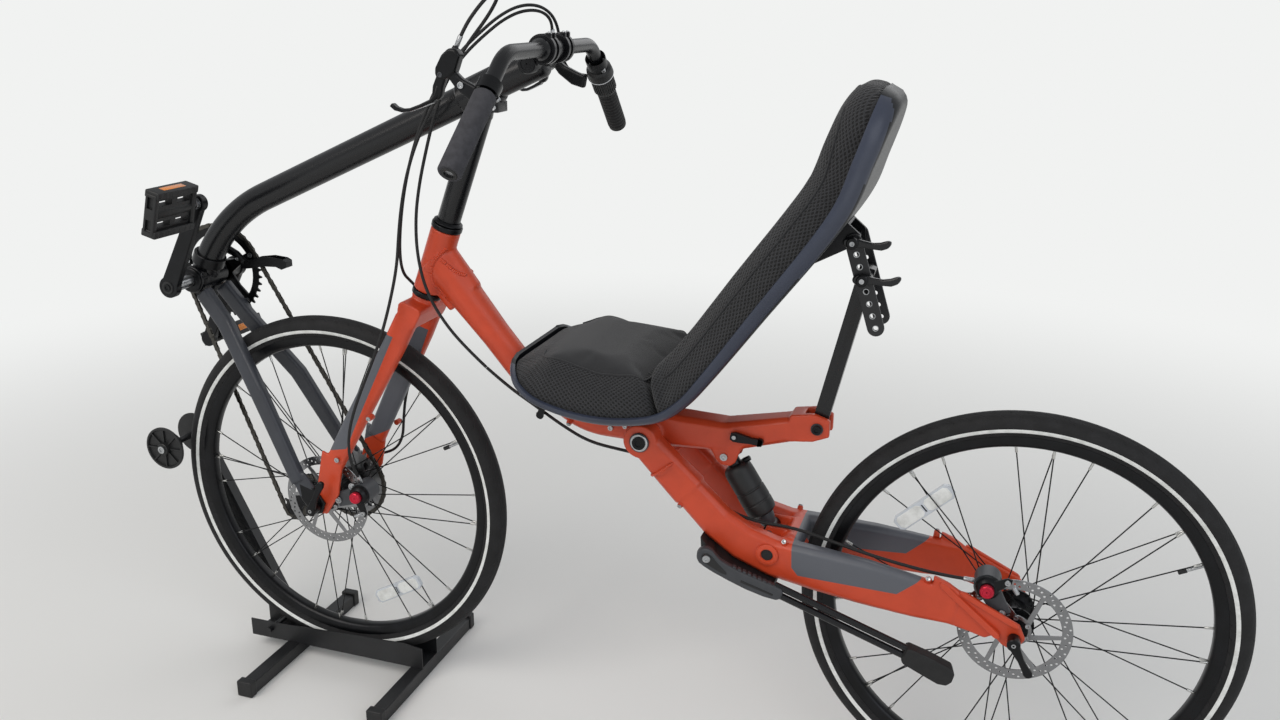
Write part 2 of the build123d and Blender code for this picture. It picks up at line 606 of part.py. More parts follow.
leg = beam(legSections, 13)
first = legSections[0]
collar = beam([(pivotPoint[0] + 12, pivotPoint[1] - 12, legPlane, legWide, legDeep),
               (first[0] + 14, first[1] - 14, legPlane, legWide + 4, legDeep + 8)], 12)
eye = disc(pivotPoint, 27, legPlane - legWide / 2, legPlane + legWide / 2)
rearDrop = slab(moved(rearAxle, [(-104, 54), (-82, 62), (6, 22), (16, 0), (2, -22), (-16, -14), (-34, 4), (-94, 12)]),
                dropInner, dropInner + dropThick)
side = leg + collar + eye + rearDrop
bridgePoint = (shockFoot[0] + 38, shockFoot[1] - 6)
bridge = disc(bridgePoint, 17, -50, 50)
shockYoke = slab(moved(shockFoot, [(-12, -18), (38, -24), (38, 12), (-4, 14)]), -24, 24)
shockYoke -= Pos(shockFoot[0], 0, shockFoot[1]) * Box(60, 36, 60)
arm = side + mirrored(side) + bridge + shockYoke
keep("swingarm", arm - disc(pivotPoint, 8 + seat, -80, 80) - disc(rearAxle, axleRadius, -100, 100))
boltFace = legPlane + legWide / 2 + seat
keep("pivot_bolt", disc(pivotPoint, 8, -boltFace, boltFace) + disc(pivotPoint, 14, -boltFace - 4, -boltFace)
     + disc(pivotPoint, 14, boltFace, boltFace + 4))

# Rear shock
run, length = between(shockTop, shockFoot)
shock = rod(at(*along(shockTop, run, 32)), at(*along(shockTop, run, 92)), shockRadius)
shock += rod(at(*shockTop), at(*shockFoot), 11)
shock += disc(shockTop, 10, -17, 17) + disc(shockFoot, 10, -17, 17)
keep("shock", shock)

# Skewers
for prefix, axle, reach in (("front", frontAxle, stayInner + dropThick), ("rear", rearAxle, dropInner + dropThick)):
    skewer = disc(axle, skewerRadius, -reach - 8, reach + 8)
    skewer += disc(axle, 9, reach + seat, reach + 14) + disc(axle, 9, -reach - 14, -reach - seat)
    keep(prefix + "_skewer", skewer)

# Calipers: a body on each side of the rotor
for prefix, axle, place in (("front", frontAxle, (frontAxle[0] + 78, frontAxle[1] + 28.5)),
                            ("rear", rearAxle, (rearAxle[0] - 43.7, rearAxle[1] + 71))):
    body = disc(place, 19, rotorPlane - 18, rotorPlane + 14)
    (ux, uz), reach = between(place, axle)
    tabEnd = along(place, (ux, uz), 48)
    tab = [along(p, (-uz, ux), t) for p, t in ((place, 15), (tabEnd, 12), (tabEnd, -12), (place, -15))]
    body += slab(tab, -dropInner + seat, -dropInner + 7) - disc(axle, 24, -80, -60)
    body -= disc(axle, rotorRadius + 4, rotorPlane - 2.5, rotorPlane + 2.5)
    keep(prefix + "_caliper", body)

# Seat: a bent shell with raised sides, a base cushion and a back cushion
def shifted(line, gap):
    """The corners of a side-view line moved to its upper side by a gap, mitred."""
    runs = [between(p, q)[0] for p, q in zip(line, line[1:])]
    moved = []
    for i, p in enumerate(line):
        a, b = runs[max(i - 1, 0)], runs[min(i, len(runs) - 1)]
        normal = (-a[1] - b[1], a[0] + b[0])
        square = -a[1] * normal[0] + a[0] * normal[1]
        moved.append(along(p, normal, gap / square))
    return moved


def band(line, corners, gap, thick):
    """A side-view face that follows a line, from one distance above it to another."""
    runs = [between(p, q)[0] for p, q in zip(line, line[1:])]
    edges = []
    for lift in (gap, gap + thick):
        radii = []
        for (a, b), corner in zip(zip(runs, runs[1:]), corners):
            towards = 1 if a[0] * b[1] - a[1] * b[0] > 0 else -1
            radii.append(max(corner - towards * lift, 6))
        edges.append(FilletPolyline(*shifted(line, lift), radius=radii))
    low, high = edges
    return make_face(Curve() + [low, high, Line(low @ 0, high @ 0), Line(low @ 1, high @ 1)])


def across(face, half):
    """A side-view face made into a solid, centred on the bicycle."""
    return extrude(Plane.XZ.offset(-half) * face, 2 * half)


def seatEdge(inset):
    """The seat's outline: a prism from the front and one from above, in common."""
    half, top = seatWide / 2 - inset, seatTopWide / 2 - inset
    front = [(-half, 500), (half, 500), (half, 800), (top, 1095 - inset), (-top, 1095 - inset), (-half, 800)]
    back = extrude(Plane.YZ.offset(300) * make_face(FilletPolyline(*front, radius=40, close=True)), 800)
    above = [(372 + inset, -half + 25), (440, -half), (1000, -half), (1000, half), (440, half),
             (372 + inset, half - 25)]
    plan = extrude(Plane.XY.offset(500) * make_face(FilletPolyline(*above, radius=30, close=True)), 700)
    return back & plan


shellLine = [(374, 650), (430, 606), (530, 586), (630, 600), (705, 672), (773, 764), (871, 899), (930, 1060)]
shellCorners = [40, 60, 60, 60, 200, 200, 200]
lipHigh = 26.0
lipThick = 5.0
outerEdge, innerEdge = seatEdge(0), seatEdge(lipThick)
shellSkin = across(band(shellLine, shellCorners[:len(shellLine) - 2], 0, shellThick), seatWide / 2)
lipBand = across(band(shellLine, shellCorners[:len(shellLine) - 2], 0, lipHigh), seatWide / 2)
keep("seat_shell", (shellSkin & outerEdge) + ((lipBand & outerEdge) - innerEdge))

cushionEdge = seatEdge(lipThick + 1)
baseLine = [(386, 640.57), (430, 606), (530, 586), (612, 597.48)]
backLine = [(708, 676.1), (773, 764), (871, 899), (926, 1049.1)]
baseTop = [(612, 669), (545, 672), (480, 674), (440, 677), (408, 674), (384, 659)]
low = FilletPolyline(*shifted(baseLine, shellThick + seat), radius=[34, 54])
high = FilletPolyline(*baseTop, radius=[150, 150, 60, 25])
face = make_face(Curve() + [low, high, Line(low @ 0, high @ 1), Line(low @ 1, high @ 0)])
keep("seat_base_cushion", across(face, seatWide / 2) & cushionEdge)
face = band(backLine, [200, 200], shellThick + seat, 64.0)
keep("seat_back_cushion", across(face, seatWide / 2) & cushionEdge)

# Brackets that carry the shell on the main tube
kneeSlope, _ = between(mainKnee, mainLow)
clampAt = along(mainKnee, kneeSlope, 52)
clampLow, clampHigh = along(clampAt, kneeSlope, -12), along(clampAt, kneeSlope, 12)
clamp = rod(at(*clampLow), at(*clampHigh), mainTailRadius + 5)
clamp += slab([(398, 600), (428, 590), (446, 594), (432, 601), (414, 615)], -20, 20)
clamp -= rod(at(*along(mainKnee, kneeSlope, 10)), at(*along(mainKnee, kneeSlope, 100)), mainTailRadius + seat)
pad = slab([(580, 573.3), (580, 592.5), (620, 598.1), (620, 571.6)], -22, 22)
keep("seat_brackets", clamp, pad)

# Seat strut, its perforated plates, the bracket on the shell and the quick-release levers
plateTop = (874.0, 864.0)       # first hole of the plates
platePlane = 31.0               # inner face of each plate
plateRun, _ = between(plateTop, (913.0, 744.0))
holePitch, holeCount, strutHole = 18.0, 8, 3
m = (-plateRun[1], plateRun[0])
plateHoles = [along(plateTop, plateRun, i * holePitch) for i in range(holeCount)]
strutTop = plateHoles[strutHole]
strutRun, strutLength = between(tailEnd, strutTop)
n = (-strutRun[1], strutRun[0])
strutLow, strutHigh = along(tailEnd, strutRun, -12), along(strutTop, strutRun, 12)
wide = strutSide / 2
strut = slab([along(p, n, s) for p, s in ((strutLow, wide), (strutHigh, wide), (strutHigh, -wide), (strutLow, -wide))],
             -wide, wide)
strut += disc(strutTop, 11, -platePlane + seat, platePlane - seat)
keep("seat_strut", strut - disc(tailEnd, 4 + seat, -30, 30) - disc(strutTop, 4 + seat, -40, 40))

plates = []
for side in (-1, 1):
    low, high = sorted((side * platePlane, side * (platePlane + 4)))
    first, last = along(plateHoles[0], plateRun, -11), along(plateHoles[-1], plateRun, 11)
    plate = slab([along(p, m, s) for p, s in ((first, 12), (last, 12), (last, -12), (first, -12))], low, high)
    for i, hole in enumerate(plateHoles):
        if i in (0, strutHole):
            plate -= disc(hole, 4 + seat, -60, 60)
        else:
            plate -= slab([along(hole, (cos(pi * k / 3), sin(pi * k / 3)), 3.4) for k in range(6)], -60, 60)
    plates.append(plate)
keep("strut_plates", *plates)

backRun, _ = between(shellLine[-3], shellLine[-2])
backOut = (backRun[1], -backRun[0])
backFoot, backHead = along(shellLine[-2], backRun, -88), along(shellLine[-2], backRun, -12)
bracket = slab([along(backFoot, backOut, seat), along(backHead, backOut, seat), along(plateTop, backRun, 13),
                along(plateTop, backOut, 12), along(plateTop, backRun, -14)],
               -platePlane + seat, platePlane - seat)
bracket -= slab([along(along(backFoot, backOut, 4), backRun, -20), along(along(backHead, backOut, 4), backRun, 20),
                 along(plateTop, backRun, 60), along(plateTop, backOut, 60), along(plateTop, backRun, -60)],
                -platePlane + 6, platePlane - 6)
keep("seat_back_bracket", bracket - disc(plateTop, 4 + seat, -60, 60))

levers = []
plateFace = platePlane + 4 + seat
for pin, back, lift in ((plateTop, -15, 2), (strutTop, -8, 4)):
    bolt = disc(pin, 4, -plateFace - 4, plateFace + 6) + disc(pin, 8, plateFace, plateFace + 6)
    x, z = pin[0] + back, pin[1]
    handle = slab([(x, z - 7), (x, z + 7), (x + 45, z + 5 + lift), (x + 66, z + 8 + lift),
                   (x + 66, z - 4 + lift), (x + 40, z - 6)], -plateFace - 12, -plateFace, 3)
    levers += [bolt + handle]
foot = disc(tailEnd, 4, -26, 26) + disc(tailEnd, 8, -30, -22 - seat) + disc(tailEnd, 8, 22 + seat, 30)
keep("quick_levers", *levers, foot)

# Kickstand, folded back along the left leg
kickUnder = legUnder(1, 0)
kickPivot = (kickUnder[0] + 9, -78.0, kickUnder[1] - 18)
kickAxis = Vector(-kickTilt, 1, 0).normalized()
fold = radians(kickAngle)
legRun = Vector(cos(fold), -0.03, -sin(fold)).normalized()
pivot = Vector(*kickPivot)
legOut = kickAxis * -14.0
legStart = pivot + legOut
kick = rod(pivot + kickAxis * -8, pivot + kickAxis * -22, 15)
for shift in (-6, 6):
    across_leg = legRun.cross(kickAxis) * shift
    kick += rod(legStart + across_leg, legStart + legRun * (kickLength - 30) + across_leg, 6)
for aside, rows in ((-15, ((2, 12, 28), (62, 13, 31), (122, 13, 25))),
                    (-14, ((kickLength - 62, 22, 27), (kickLength - 50, 26, 36), (kickLength - 8, 24, 30),
                           (kickLength, 14, 18)))):
    places = [(pivot + kickAxis * aside + legRun * s, wide, deep) for s, wide, deep in rows]
    kick += beam([(p.X, p.Z, p.Y, wide, deep) for p, wide, deep in places], 6)
keep("kickstand", kick)
bracket = rod(pivot + kickAxis * -7.5, pivot + kickAxis * 14, 13)
under = [legUnder(i, 0.5) for i in (1, 2, 3)]
under = [along(under[0], between(under[1], under[0])[0], 12)] + under + [
    along(under[2], between(under[1], under[2])[0], 12)]
bracket += slab(under + [(under[4][0], under[4][1] - 9), (under[2][0], under[2][1] - 14),
                         (under[0][0] + 4, under[0][1] - 28)], -80, -40)
keep("kickstand_bracket", bracket)

# Control cables: housings that the bicycle holds at both ends
cableThick = 5.0
leftLever, rightLever = at(*leverRoot, -leverSpread), at(*leverRoot, leverSpread)
frontBrakeHose = cord([(349.4, -172, 1118.6), (360, -170, 1142), (377, -161, 1168), (390, -143, 1188),
                       (391, -122, 1192), (379, -107, 1176), (358, -98, 1152), (330, -91, 1124),
                       (300, -84, 1090), (272, -78, 1052), (247, -74, 1014), (223, -72, 972), (204, -70, 926),
                       (191, -69, 878), (183, -69, 830), (177, -69, 780), (164, -74, 722),
                       (146, -79, 662), (122, -84, 604), (98, -89, 548), (80, -89, 496), (73, -82, 448),
                       (75, -70, 416), (78, -60, 394.7)], cableThick)
gearHousing = cord([(393.1, 205.7, 1058.6), (371, 202, 1060), (354, 198, 1074), (349, 192, 1104), (350, 180, 1136),
                    (346, 160, 1158), (335, 130, 1170), (317, 98, 1168), (298, 66, 1152), (281, 34, 1128),
                    (266, 4, 1104), (252, -24, 1074), (237, -42, 1038), (219, -48, 996), (201, -50, 948),
                    (187, -52, 896), (177, -52, 842), (168, -44, 792), (158, -20, 756), (152, 12, 736),
                    (150, 44, 712), (146, 72, 674), (126, 85, 614), (102, 89, 552), (84, 90, 500), (77, 91, 456),
                    (72, 94, 420), (56, 96, 393), (30, 96, 380), (4, 94, 377), (-21.6, 92, 377)], cableThick)
keep("front_cables", frontBrakeHose, gearHousing)
keep("rear_brake_loop", cord([(343.1, 172, 1118.4), (345, 170, 1136), (344, 156, 1153), (335, 132, 1162),
                              (319, 102, 1160), (302, 70, 1146), (286, 38, 1124), (273, 10, 1103),
                              (263, -16, 1080), (252, -36, 1048), (240, -46, 1006), (226, -48, 958),
                              (213, -50, 908), (205, -53, 856), (206, -56, 798), (218, -56, 742),
                              (242, -50, 694), (274, -42, 652), (308, -34, 618)], cableThick))
keep("rear_brake_hose", cord([(308.4, -33.9, 617.6), (342, -27, 587), (387, -22, 558), (432, -19, 529),
                              (476, -19, 508), (528, -20, 502), (580, -22, 499), (630, -25, 482), (674, -27, 452),
                              (714, -27.2, 426), (760, -27.2, 416), (812, -28, 416.5), (862, -38, 411),
                              (914, -49, 405), (966, -57, 400), (1014, -59, 395), (1050, -58, 392),
                              (1080.5, -56, 391)], cableThick))


os.makedirs("parts", exist_ok=True)
total = 0
for name, solids in parts.items():
    placed = [Pos(-middleX, 0, 0) * s for s in solids]
    export_step(Compound(children=placed) if len(placed) > 1 else placed[0], f"parts/{name}.step")
    total += len(placed)
print(len(parts), "nodes,", total, "solids")
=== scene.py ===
import json
from math import asin, atan2, cos, pi, radians, sin, sqrt, tan
import bpy
from mathutils import Matrix, Vector


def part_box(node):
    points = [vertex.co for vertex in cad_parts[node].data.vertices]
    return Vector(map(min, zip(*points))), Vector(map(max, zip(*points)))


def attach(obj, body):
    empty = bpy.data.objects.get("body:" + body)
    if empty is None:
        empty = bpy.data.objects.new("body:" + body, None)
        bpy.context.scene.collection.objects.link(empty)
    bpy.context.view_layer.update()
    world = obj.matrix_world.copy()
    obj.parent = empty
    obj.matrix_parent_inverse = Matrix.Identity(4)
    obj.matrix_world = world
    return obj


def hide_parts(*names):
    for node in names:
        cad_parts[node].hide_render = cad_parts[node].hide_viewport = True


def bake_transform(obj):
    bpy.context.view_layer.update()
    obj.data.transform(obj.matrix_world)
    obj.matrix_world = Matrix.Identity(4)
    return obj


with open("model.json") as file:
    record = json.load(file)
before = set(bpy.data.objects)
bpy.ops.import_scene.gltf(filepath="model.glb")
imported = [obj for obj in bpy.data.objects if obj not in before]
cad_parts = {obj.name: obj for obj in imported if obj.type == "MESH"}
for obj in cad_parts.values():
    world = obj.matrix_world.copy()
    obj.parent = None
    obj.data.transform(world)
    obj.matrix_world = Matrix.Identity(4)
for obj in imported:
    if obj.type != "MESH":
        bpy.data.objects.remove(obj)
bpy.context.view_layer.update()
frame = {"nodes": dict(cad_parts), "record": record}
nodes = frame["nodes"]

# Drawing sizes in millimetres, as on the real bicycle. The front axle is at X 0 on the drawing.
middleX = 548.0  # the drawing's X under which the origin lies
bike = {"frontAxle": (0.0, 345.5), "rearAxle": (1143.67, 318.0), "bracket": (-247.0, 713.0), "headTop": (229.0, 830.0),
        "headAngle": 69.8, "pivot": (576.0, 537.0), "crank": 165.0, "crankAngle": 62.5}


def at(x, z, y=0.0):  # drawing side view and distance from the centre plane, to metres
    return Vector(((x - middleX) / 1000, y / 1000, z / 1000))


def along(start, direction, distance):
    return (start[0] + direction[0] * distance, start[1] + direction[1] * distance)


def onCircle(centre, radius, angle):
    return along(centre, (cos(angle), sin(angle)), radius)


def between(start, end):  # the direction from one side-view point to another, and the distance
    dx, dz = end[0] - start[0], end[1] - start[1]
    length = sqrt(dx * dx + dz * dz)
    return (dx / length, dz / length), length


def ribbon(start, way, rows):  # an outline of (distance, half width) on both sides of a straight line
    across, spots = (-way[1], way[0]), [(along(start, way, run), half) for run, half in rows]
    return [along(p, across, half) for p, half in spots] + [along(p, across, -half) for p, half in reversed(spots)]


def limited(value, low=0.0, high=1.0):
    return min(high, max(low, value))


# Materials. One function adds a node, one turns a hex colour to linear.
materials = {}


def linear(colour):
    values = [int(colour[i:i + 2], 16) / 255 for i in (1, 3, 5)]
    return tuple(v / 12.92 if v <= 0.04045 else ((v + 0.055) / 1.055) ** 2.4 for v in values) + (1.0,)


def addNode(tree, kind, inputs=None, outputs=None, **settings):  # inputs are values or links, outputs are links
    piece = tree.nodes.new("ShaderNode" + kind)
    for key, value in settings.items():
        setattr(piece, key, value)
    for key, value in (inputs or {}).items():
        if isinstance(value, bpy.types.NodeSocket):
            tree.links.new(value, piece.inputs[key])
        else:
            piece.inputs[key].default_value = value
    for key, socket in (outputs or {}).items():
        tree.links.new(piece.outputs[key], socket)
    return piece


def startMaterial(name, colour, rough, metallic=0.0, ior=1.5, **sockets):
    material = materials[name] = bpy.data.materials.new(name)
    material.use_nodes = True
    tree = material.node_tree
    shader = tree.nodes["Principled BSDF"]
    shader.inputs["Base Color"].default_value = linear(colour)
    shader.inputs["Roughness"].default_value = rough
    shader.inputs["Metallic"].default_value = metallic
    shader.inputs["IOR"].default_value = ior
    for key, value in sockets.items():
        shader.inputs[key.replace("_", " ")].default_value = value
    return tree, shader, addNode(tree, "TexCoord").outputs["Object"]


def variant(base, name):  # a copy of a material that is then changed for one piece
    material = materials[name] = materials[base].copy()
    material.name = name
    tree = material.node_tree
    return tree, tree.nodes["Principled BSDF"], addNode(tree, "TexCoord").outputs["Object"]


def perMetre(millimetres):  # a noise or voronoi scale that repeats about every so many millimetres
    return 1000.0 / millimetres


def addWear(tree, shader, where, colour, worn, patch, amount):  # broad patches that shift the colour a little
    blotch = addNode(tree, "TexNoise", {"Vector": where, "Scale": perMetre(patch), "Detail": 4.0, "Roughness": 0.6})
    mask = addNode(tree, "MapRange", {"Value": blotch.outputs["Fac"], "From Min": 0.42, "From Max": 0.68,
                                      "To Max": amount})
    addNode(tree, "Mix", {0: mask.outputs["Result"], 6: linear(colour), 7: linear(worn)},
            {2: shader.inputs["Base Color"]}, data_type="RGBA")


def addGrain(tree, shader, where, grain, depth, roughLow, roughHigh):  # fine bump and gloss change
    noise = addNode(tree, "TexNoise", {"Vector": where, "Scale": perMetre(grain), "Detail": 3.0})
    addNode(tree, "MapRange", {"Value": noise.outputs["Fac"], "From Min": 0.3, "From Max": 0.7, "To Min": roughLow,
                               "To Max": roughHigh}, {"Result": shader.inputs["Roughness"]})
    addNode(tree, "Bump", {"Height": noise.outputs["Fac"], "Strength": 0.35, "Distance": depth / 1000},
            {"Normal": shader.inputs["Normal"]})


# Each row: what it is, colour, worn colour, size of the patches, grain, its depth, gloss from and to, metallic
finishes = {
    "powderCoatOrange": ("#C84524", "#B03A1E", 60, 1.6, 0.05, 0.30, 0.44, 0.0),   # satin, faint orange peel
    "powderCoatBlack": ("#17181A", "#222326", 45, 1.4, 0.07, 0.34, 0.52, 0.0),    # stand, coarse and dull
    "satinPaintGrey": ("#35383F", "#2C2E34", 50, 1.8, 0.04, 0.32, 0.46, 0.0),     # chainstays
    "anodisedBlack": ("#101113", "#1B1C20", 35, 0.9, 0.02, 0.26, 0.38, 0.55),     # machined and dyed aluminium
    "satinBlackTube": ("#0F1013", "#121316", 60, 2.0, 0.015, 0.25, 0.32, 0.15),   # handlebar and boom, softly glossy
    "shellEdge": ("#343A4A", "#2C313F", 60, 1.8, 0.03, 0.30, 0.42, 0.0),          # the shell's side wall, painted a lighter blue-grey as the light and sheen on it
    "mouldedBlack": ("#141516", "#1D1E20", 18, 0.7, 0.06, 0.42, 0.60, 0.0),       # nylon, fine spark texture
    "softRubber": ("#161617", "#202021", 14, 0.5, 0.08, 0.62, 0.80, 0.0),         # rubber feet, hoods and housings
    "anodisedRed": ("#C8233C", "#A61B30", 20, 0.8, 0.02, 0.24, 0.34, 0.6),        # bright dyed aluminium
    "zincSteel": ("#B9BBBD", "#8D8F92", 9, 0.8, 0.03, 0.22, 0.40, 1.0),           # bolts, bright and slightly blue
    "brushedSteel": ("#9A9B9D", "#7F8083", 12, 0.5, 0.03, 0.26, 0.42, 1.0),       # sprockets and pedal pins
    "chromePlate": ("#D8DADD", "#C9CBCE", 30, 3.0, 0.01, 0.06, 0.14, 1.0),        # the ring of the twist shifter
    "chainSteel": ("#55534F", "#3A3835", 6, 0.9, 0.03, 0.30, 0.48, 1.0),          # oiled, so darker
    "castGrey": ("#3C3E42", "#323438", 15, 0.8, 0.05, 0.40, 0.55, 0.1),           # calipers and kickstand housing
    "nippleBrass": ("#C9C9C6", "#A8A8A4", 5, 0.8, 0.02, 0.22, 0.34, 1.0),         # nickel-plated nipples
}
for name, (colour, worn, patch, grain, depth, low, high, metallic) in finishes.items():
    parts = startMaterial(name, colour, (low + high) / 2, metallic)
    addWear(*parts, colour, worn, patch, 0.55)
    addGrain(*parts, grain, depth, low, high)

# Brake ring: turned steel, so its scratches run round and catch the light as fine rings
addGrain(*startMaterial("turnedSteel", "#8E8F91", 0.3, 1.0, Anisotropic=0.6), 0.6, 0.03, 0.2, 0.36)

# Tyre rubber: dull near-black with dust, and mould ribs too fine to model
parts = startMaterial("tyreRubber", "#1A1A1B", 0.75, Specular_IOR_Level=0.35)
addWear(*parts, "#1A1A1B", "#262628", 22, 0.6)
addGrain(*parts, 0.9, 0.12, 0.62, 0.84)

# Reflective band: glass beads on white tape
addWear(*startMaterial("reflectiveTape", "#E6E8E6", 0.35, Specular_IOR_Level=0.8), "#E6E8E6", "#C4C6C2", 16, 0.8)

# Foam grip: closed-cell rubber foam, no gloss, with open pores about 1.2 mm apart
tree, shader, where = startMaterial("foamGrip", "#47474B", 0.9, Specular_IOR_Level=0.25)
addWear(tree, shader, where, "#47474B", "#38383B", 12, 0.7)
pores = addNode(tree, "TexVoronoi", {"Vector": where, "Scale": perMetre(1.2)})
addNode(tree, "Bump", {"Height": pores.outputs["Distance"], "Strength": 0.5, "Distance": 0.0003},
        {"Normal": shader.inputs["Normal"]})

# Seat shell: moulded composite under a satin lacquer, near black with a blue cast
parts = startMaterial("compositeShell", "#0D0E11", 0.55, Specular_IOR_Level=0.25, Coat_Weight=0.04, Coat_Roughness=0.4)
addWear(*parts, "#101216", "#191C22", 40, 0.6)
addGrain(*parts, 2.2, 0.04, 0.36, 0.48)

# Spacer mesh: knitted polyester with rows of open holes, drawn 7.6 to 9 mm apart to show; the holes are painted
# near-black as the shade inside them
tree, shader, where = startMaterial("spacerMesh", "#15161A", 0.85, Sheen_Weight=0.14, Sheen_Roughness=0.5)
knit = addNode(tree, "Attribute", attribute_name="weave").outputs["Vector"]
rows = []
for shift in (0.0, 0.5):  # two grids, one set between the other, as the knit's rows are
    grid = addNode(tree, "Mapping", {"Vector": knit, "Location": (shift, shift, 0),
                                     "Scale": (perMetre(9.0), perMetre(7.6), 1)})
    rows.append(addNode(tree, "TexVoronoi", {"Vector": grid.outputs["Vector"], "Scale": 1.0, "Randomness": 0.0},
                        voronoi_dimensions="2D").outputs["Distance"])
cells = addNode(tree, "Math", {0: rows[0], 1: rows[1]}, operation="MINIMUM")
holes = addNode(tree, "MapRange", {"Value": cells.outputs[0], "From Min": 0.20, "From Max": 0.30})
# painted shade: the holes are near-black, the yarn between them dark grey
addNode(tree, "Mix", {0: holes.outputs["Result"], 6: linear("#030304"), 7: linear("#2B2C2F")},
        {2: shader.inputs["Base Color"]}, data_type="RGBA")
yarn = addNode(tree, "TexNoise", {"Vector": where, "Scale": perMetre(0.8), "Detail": 2.0})
height = addNode(tree, "Math", {0: holes.outputs["Result"], 1: yarn.outputs["Fac"]}, operation="ADD")
addNode(tree, "Bump", {"Height": height.outputs["Value"], "Strength": 0.9, "Distance": 0.0012},
        {"Normal": shader.inputs["Normal"]})

# Seat base cover: tightly woven polyester with a rubber backing, its threads drawn coarse enough to show
tree, shader, where = startMaterial("wovenCover", "#191A1D", 0.8, Sheen_Weight=0.12, Sheen_Roughness=0.6)
addWear(tree, shader, where, "#191A1D", "#141518", 30, 0.7)
warp, weft = (addNode(tree, "TexWave", {"Vector": where, "Scale": perMetre(5.6), "Distortion": 0.6, "Detail": 1.0},
                      bands_direction=way).outputs["Fac"] for way in ("X", "Y"))
height = addNode(tree, "Math", {0: warp, 1: weft}, operation="ADD")
addNode(tree, "Bump", {"Height": height.outputs["Value"], "Strength": 0.5, "Distance": 0.0004},
        {"Normal": shader.inputs["Normal"]})

# Reflector lens: clear and amber acrylic with small prisms behind the face
for name, colour in (("clearPrismAcrylic", "#C6CCD3"), ("amberPrismAcrylic", "#E8861C")):
    tree, shader, where = startMaterial(name, colour, 0.12, 0.0, 1.49, Coat_Weight=0.6, Coat_Roughness=0.05)
    prisms = addNode(tree, "TexVoronoi", {"Vector": where, "Scale": perMetre(3.0), "Randomness": 0.0},
                     distance="CHEBYCHEV")
    addNode(tree, "Bump", {"Height": prisms.outputs["Distance"], "Strength": 0.8, "Distance": 0.001},
            {"Normal": shader.inputs["Normal"]})
print("materials made:", len(materials))


# Making pieces
def startPiece():
    if bpy.context.object and bpy.context.object.mode != "OBJECT":
        bpy.ops.object.mode_set(mode="OBJECT")
    bpy.ops.object.select_all(action="DESELECT")


def only(piece):  # selected and active, with all else deselected
    startPiece()
    piece.select_set(True)
    bpy.context.view_layer.objects.active = piece


def named(name, material=None):
    piece = bpy.context.object
    piece.name = piece.data.name = name
    if material:
        piece.data.materials.clear()
        piece.data.materials.append(materials[material])
    return piece


def applyPlace(piece):
    only(piece)
    bpy.ops.object.transform_apply(location=True, rotation=True, scale=True)
    return piece


def applyAll(piece):
    only(piece)
    for modifier in list(piece.modifiers):
        bpy.ops.object.modifier_apply(modifier=modifier.name)
    return piece


def shadeBy(angle=35):  # smooth, but sharp where faces meet at more than the angle
    bpy.ops.object.shade_smooth_by_angle(angle=radians(angle))


def addBevel(piece, width, segments=2, angle=30, smooth=35):
    modifier = piece.modifiers.new("edge", "BEVEL")
    modifier.width, modifier.segments = width / 1000, segments
    modifier.limit_method, modifier.angle_limit = "ANGLE", radians(angle)
    modifier.harden_normals = False
    applyAll(piece)
    shadeBy(smooth)
    return piece


def facing(direction):  # a rotation that turns +Z to a direction
    return Vector(direction).to_track_quat("Z", "Y").to_euler()


def turnedTo(start, direction):  # moves a piece made along +Z at the origin to its place
    return Matrix.Translation(Vector(start)) @ facing(direction).to_matrix().to_4x4()


def rod(name, start, end, radius, material, sides=32, endRadius=None, bevel=0.0):
    startPiece()
    start, end = Vector(start), Vector(end)
    middle, span = (start + end) / 2, end - start
    if endRadius is None:
        bpy.ops.mesh.primitive_cylinder_add(vertices=sides, radius=radius / 1000, depth=span.length, location=middle,
                                            rotation=facing(span))
    else:
        bpy.ops.mesh.primitive_cone_add(vertices=sides, radius1=radius / 1000, radius2=endRadius / 1000,
                                        depth=span.length, location=middle, rotation=facing(span))
    piece = named(name, material)
    if bevel:
        addBevel(piece, bevel)
    shadeBy()
    return applyPlace(piece)


def across(name, spot, start, end, radius, material="zincSteel", sides=20, bevel=0.0):  # a rod from one Y to another
    return rod(name, at(*spot, start), at(*spot, end), radius, material, sides, bevel=bevel)


def block(name, middle, size, material, bevel=1.0, segments=2):
    startPiece()
    bpy.ops.mesh.primitive_cube_add(size=1, location=middle)
    piece = named(name, material)
    piece.scale = size
    applyPlace(piece)
    if bevel:
        addBevel(piece, bevel, segments)
    return piece


def outlineEdit(name, points):  # a closed outline in edit mode: a circle whose corners are pulled to their places
    startPiece()
    bpy.ops.mesh.primitive_circle_add(vertices=len(points), radius=0.01)
    piece = named(name)
    for vertex, point in zip(piece.data.vertices, points):
        vertex.co = point
    bpy.ops.object.mode_set(mode="EDIT")
    bpy.ops.mesh.select_all(action="SELECT")
    return piece


def finishMesh(piece, material, smooth=35):
    bpy.ops.mesh.select_all(action="SELECT")
    bpy.ops.mesh.remove_doubles(threshold=0.00001)
    bpy.ops.mesh.normals_make_consistent(inside=False)
    bpy.ops.object.mode_set(mode="OBJECT")
    piece.data.materials.clear()
    piece.data.materials.append(materials[material])
    shadeBy(smooth)
    return piece


def slab(name, points, thick, material):  # a flat outline in metres, pulled to its thickness along Y
    piece = outlineEdit(name, points)
    bpy.ops.mesh.edge_face_add()
    bpy.ops.mesh.extrude_region_move(TRANSFORM_OT_translate={"value": (0, thick / 1000, 0)})
    return finishMesh(piece, material)


def plate(name, outline, low, high, material, bevel=0.6):  # a side-view outline of (x, z), from one Y to another
    low, high = sorted((low, high))
    piece = slab(name, [at(x, z, low) for x, z in outline], high - low, material)
    return addBevel(piece, bevel) if bevel else piece


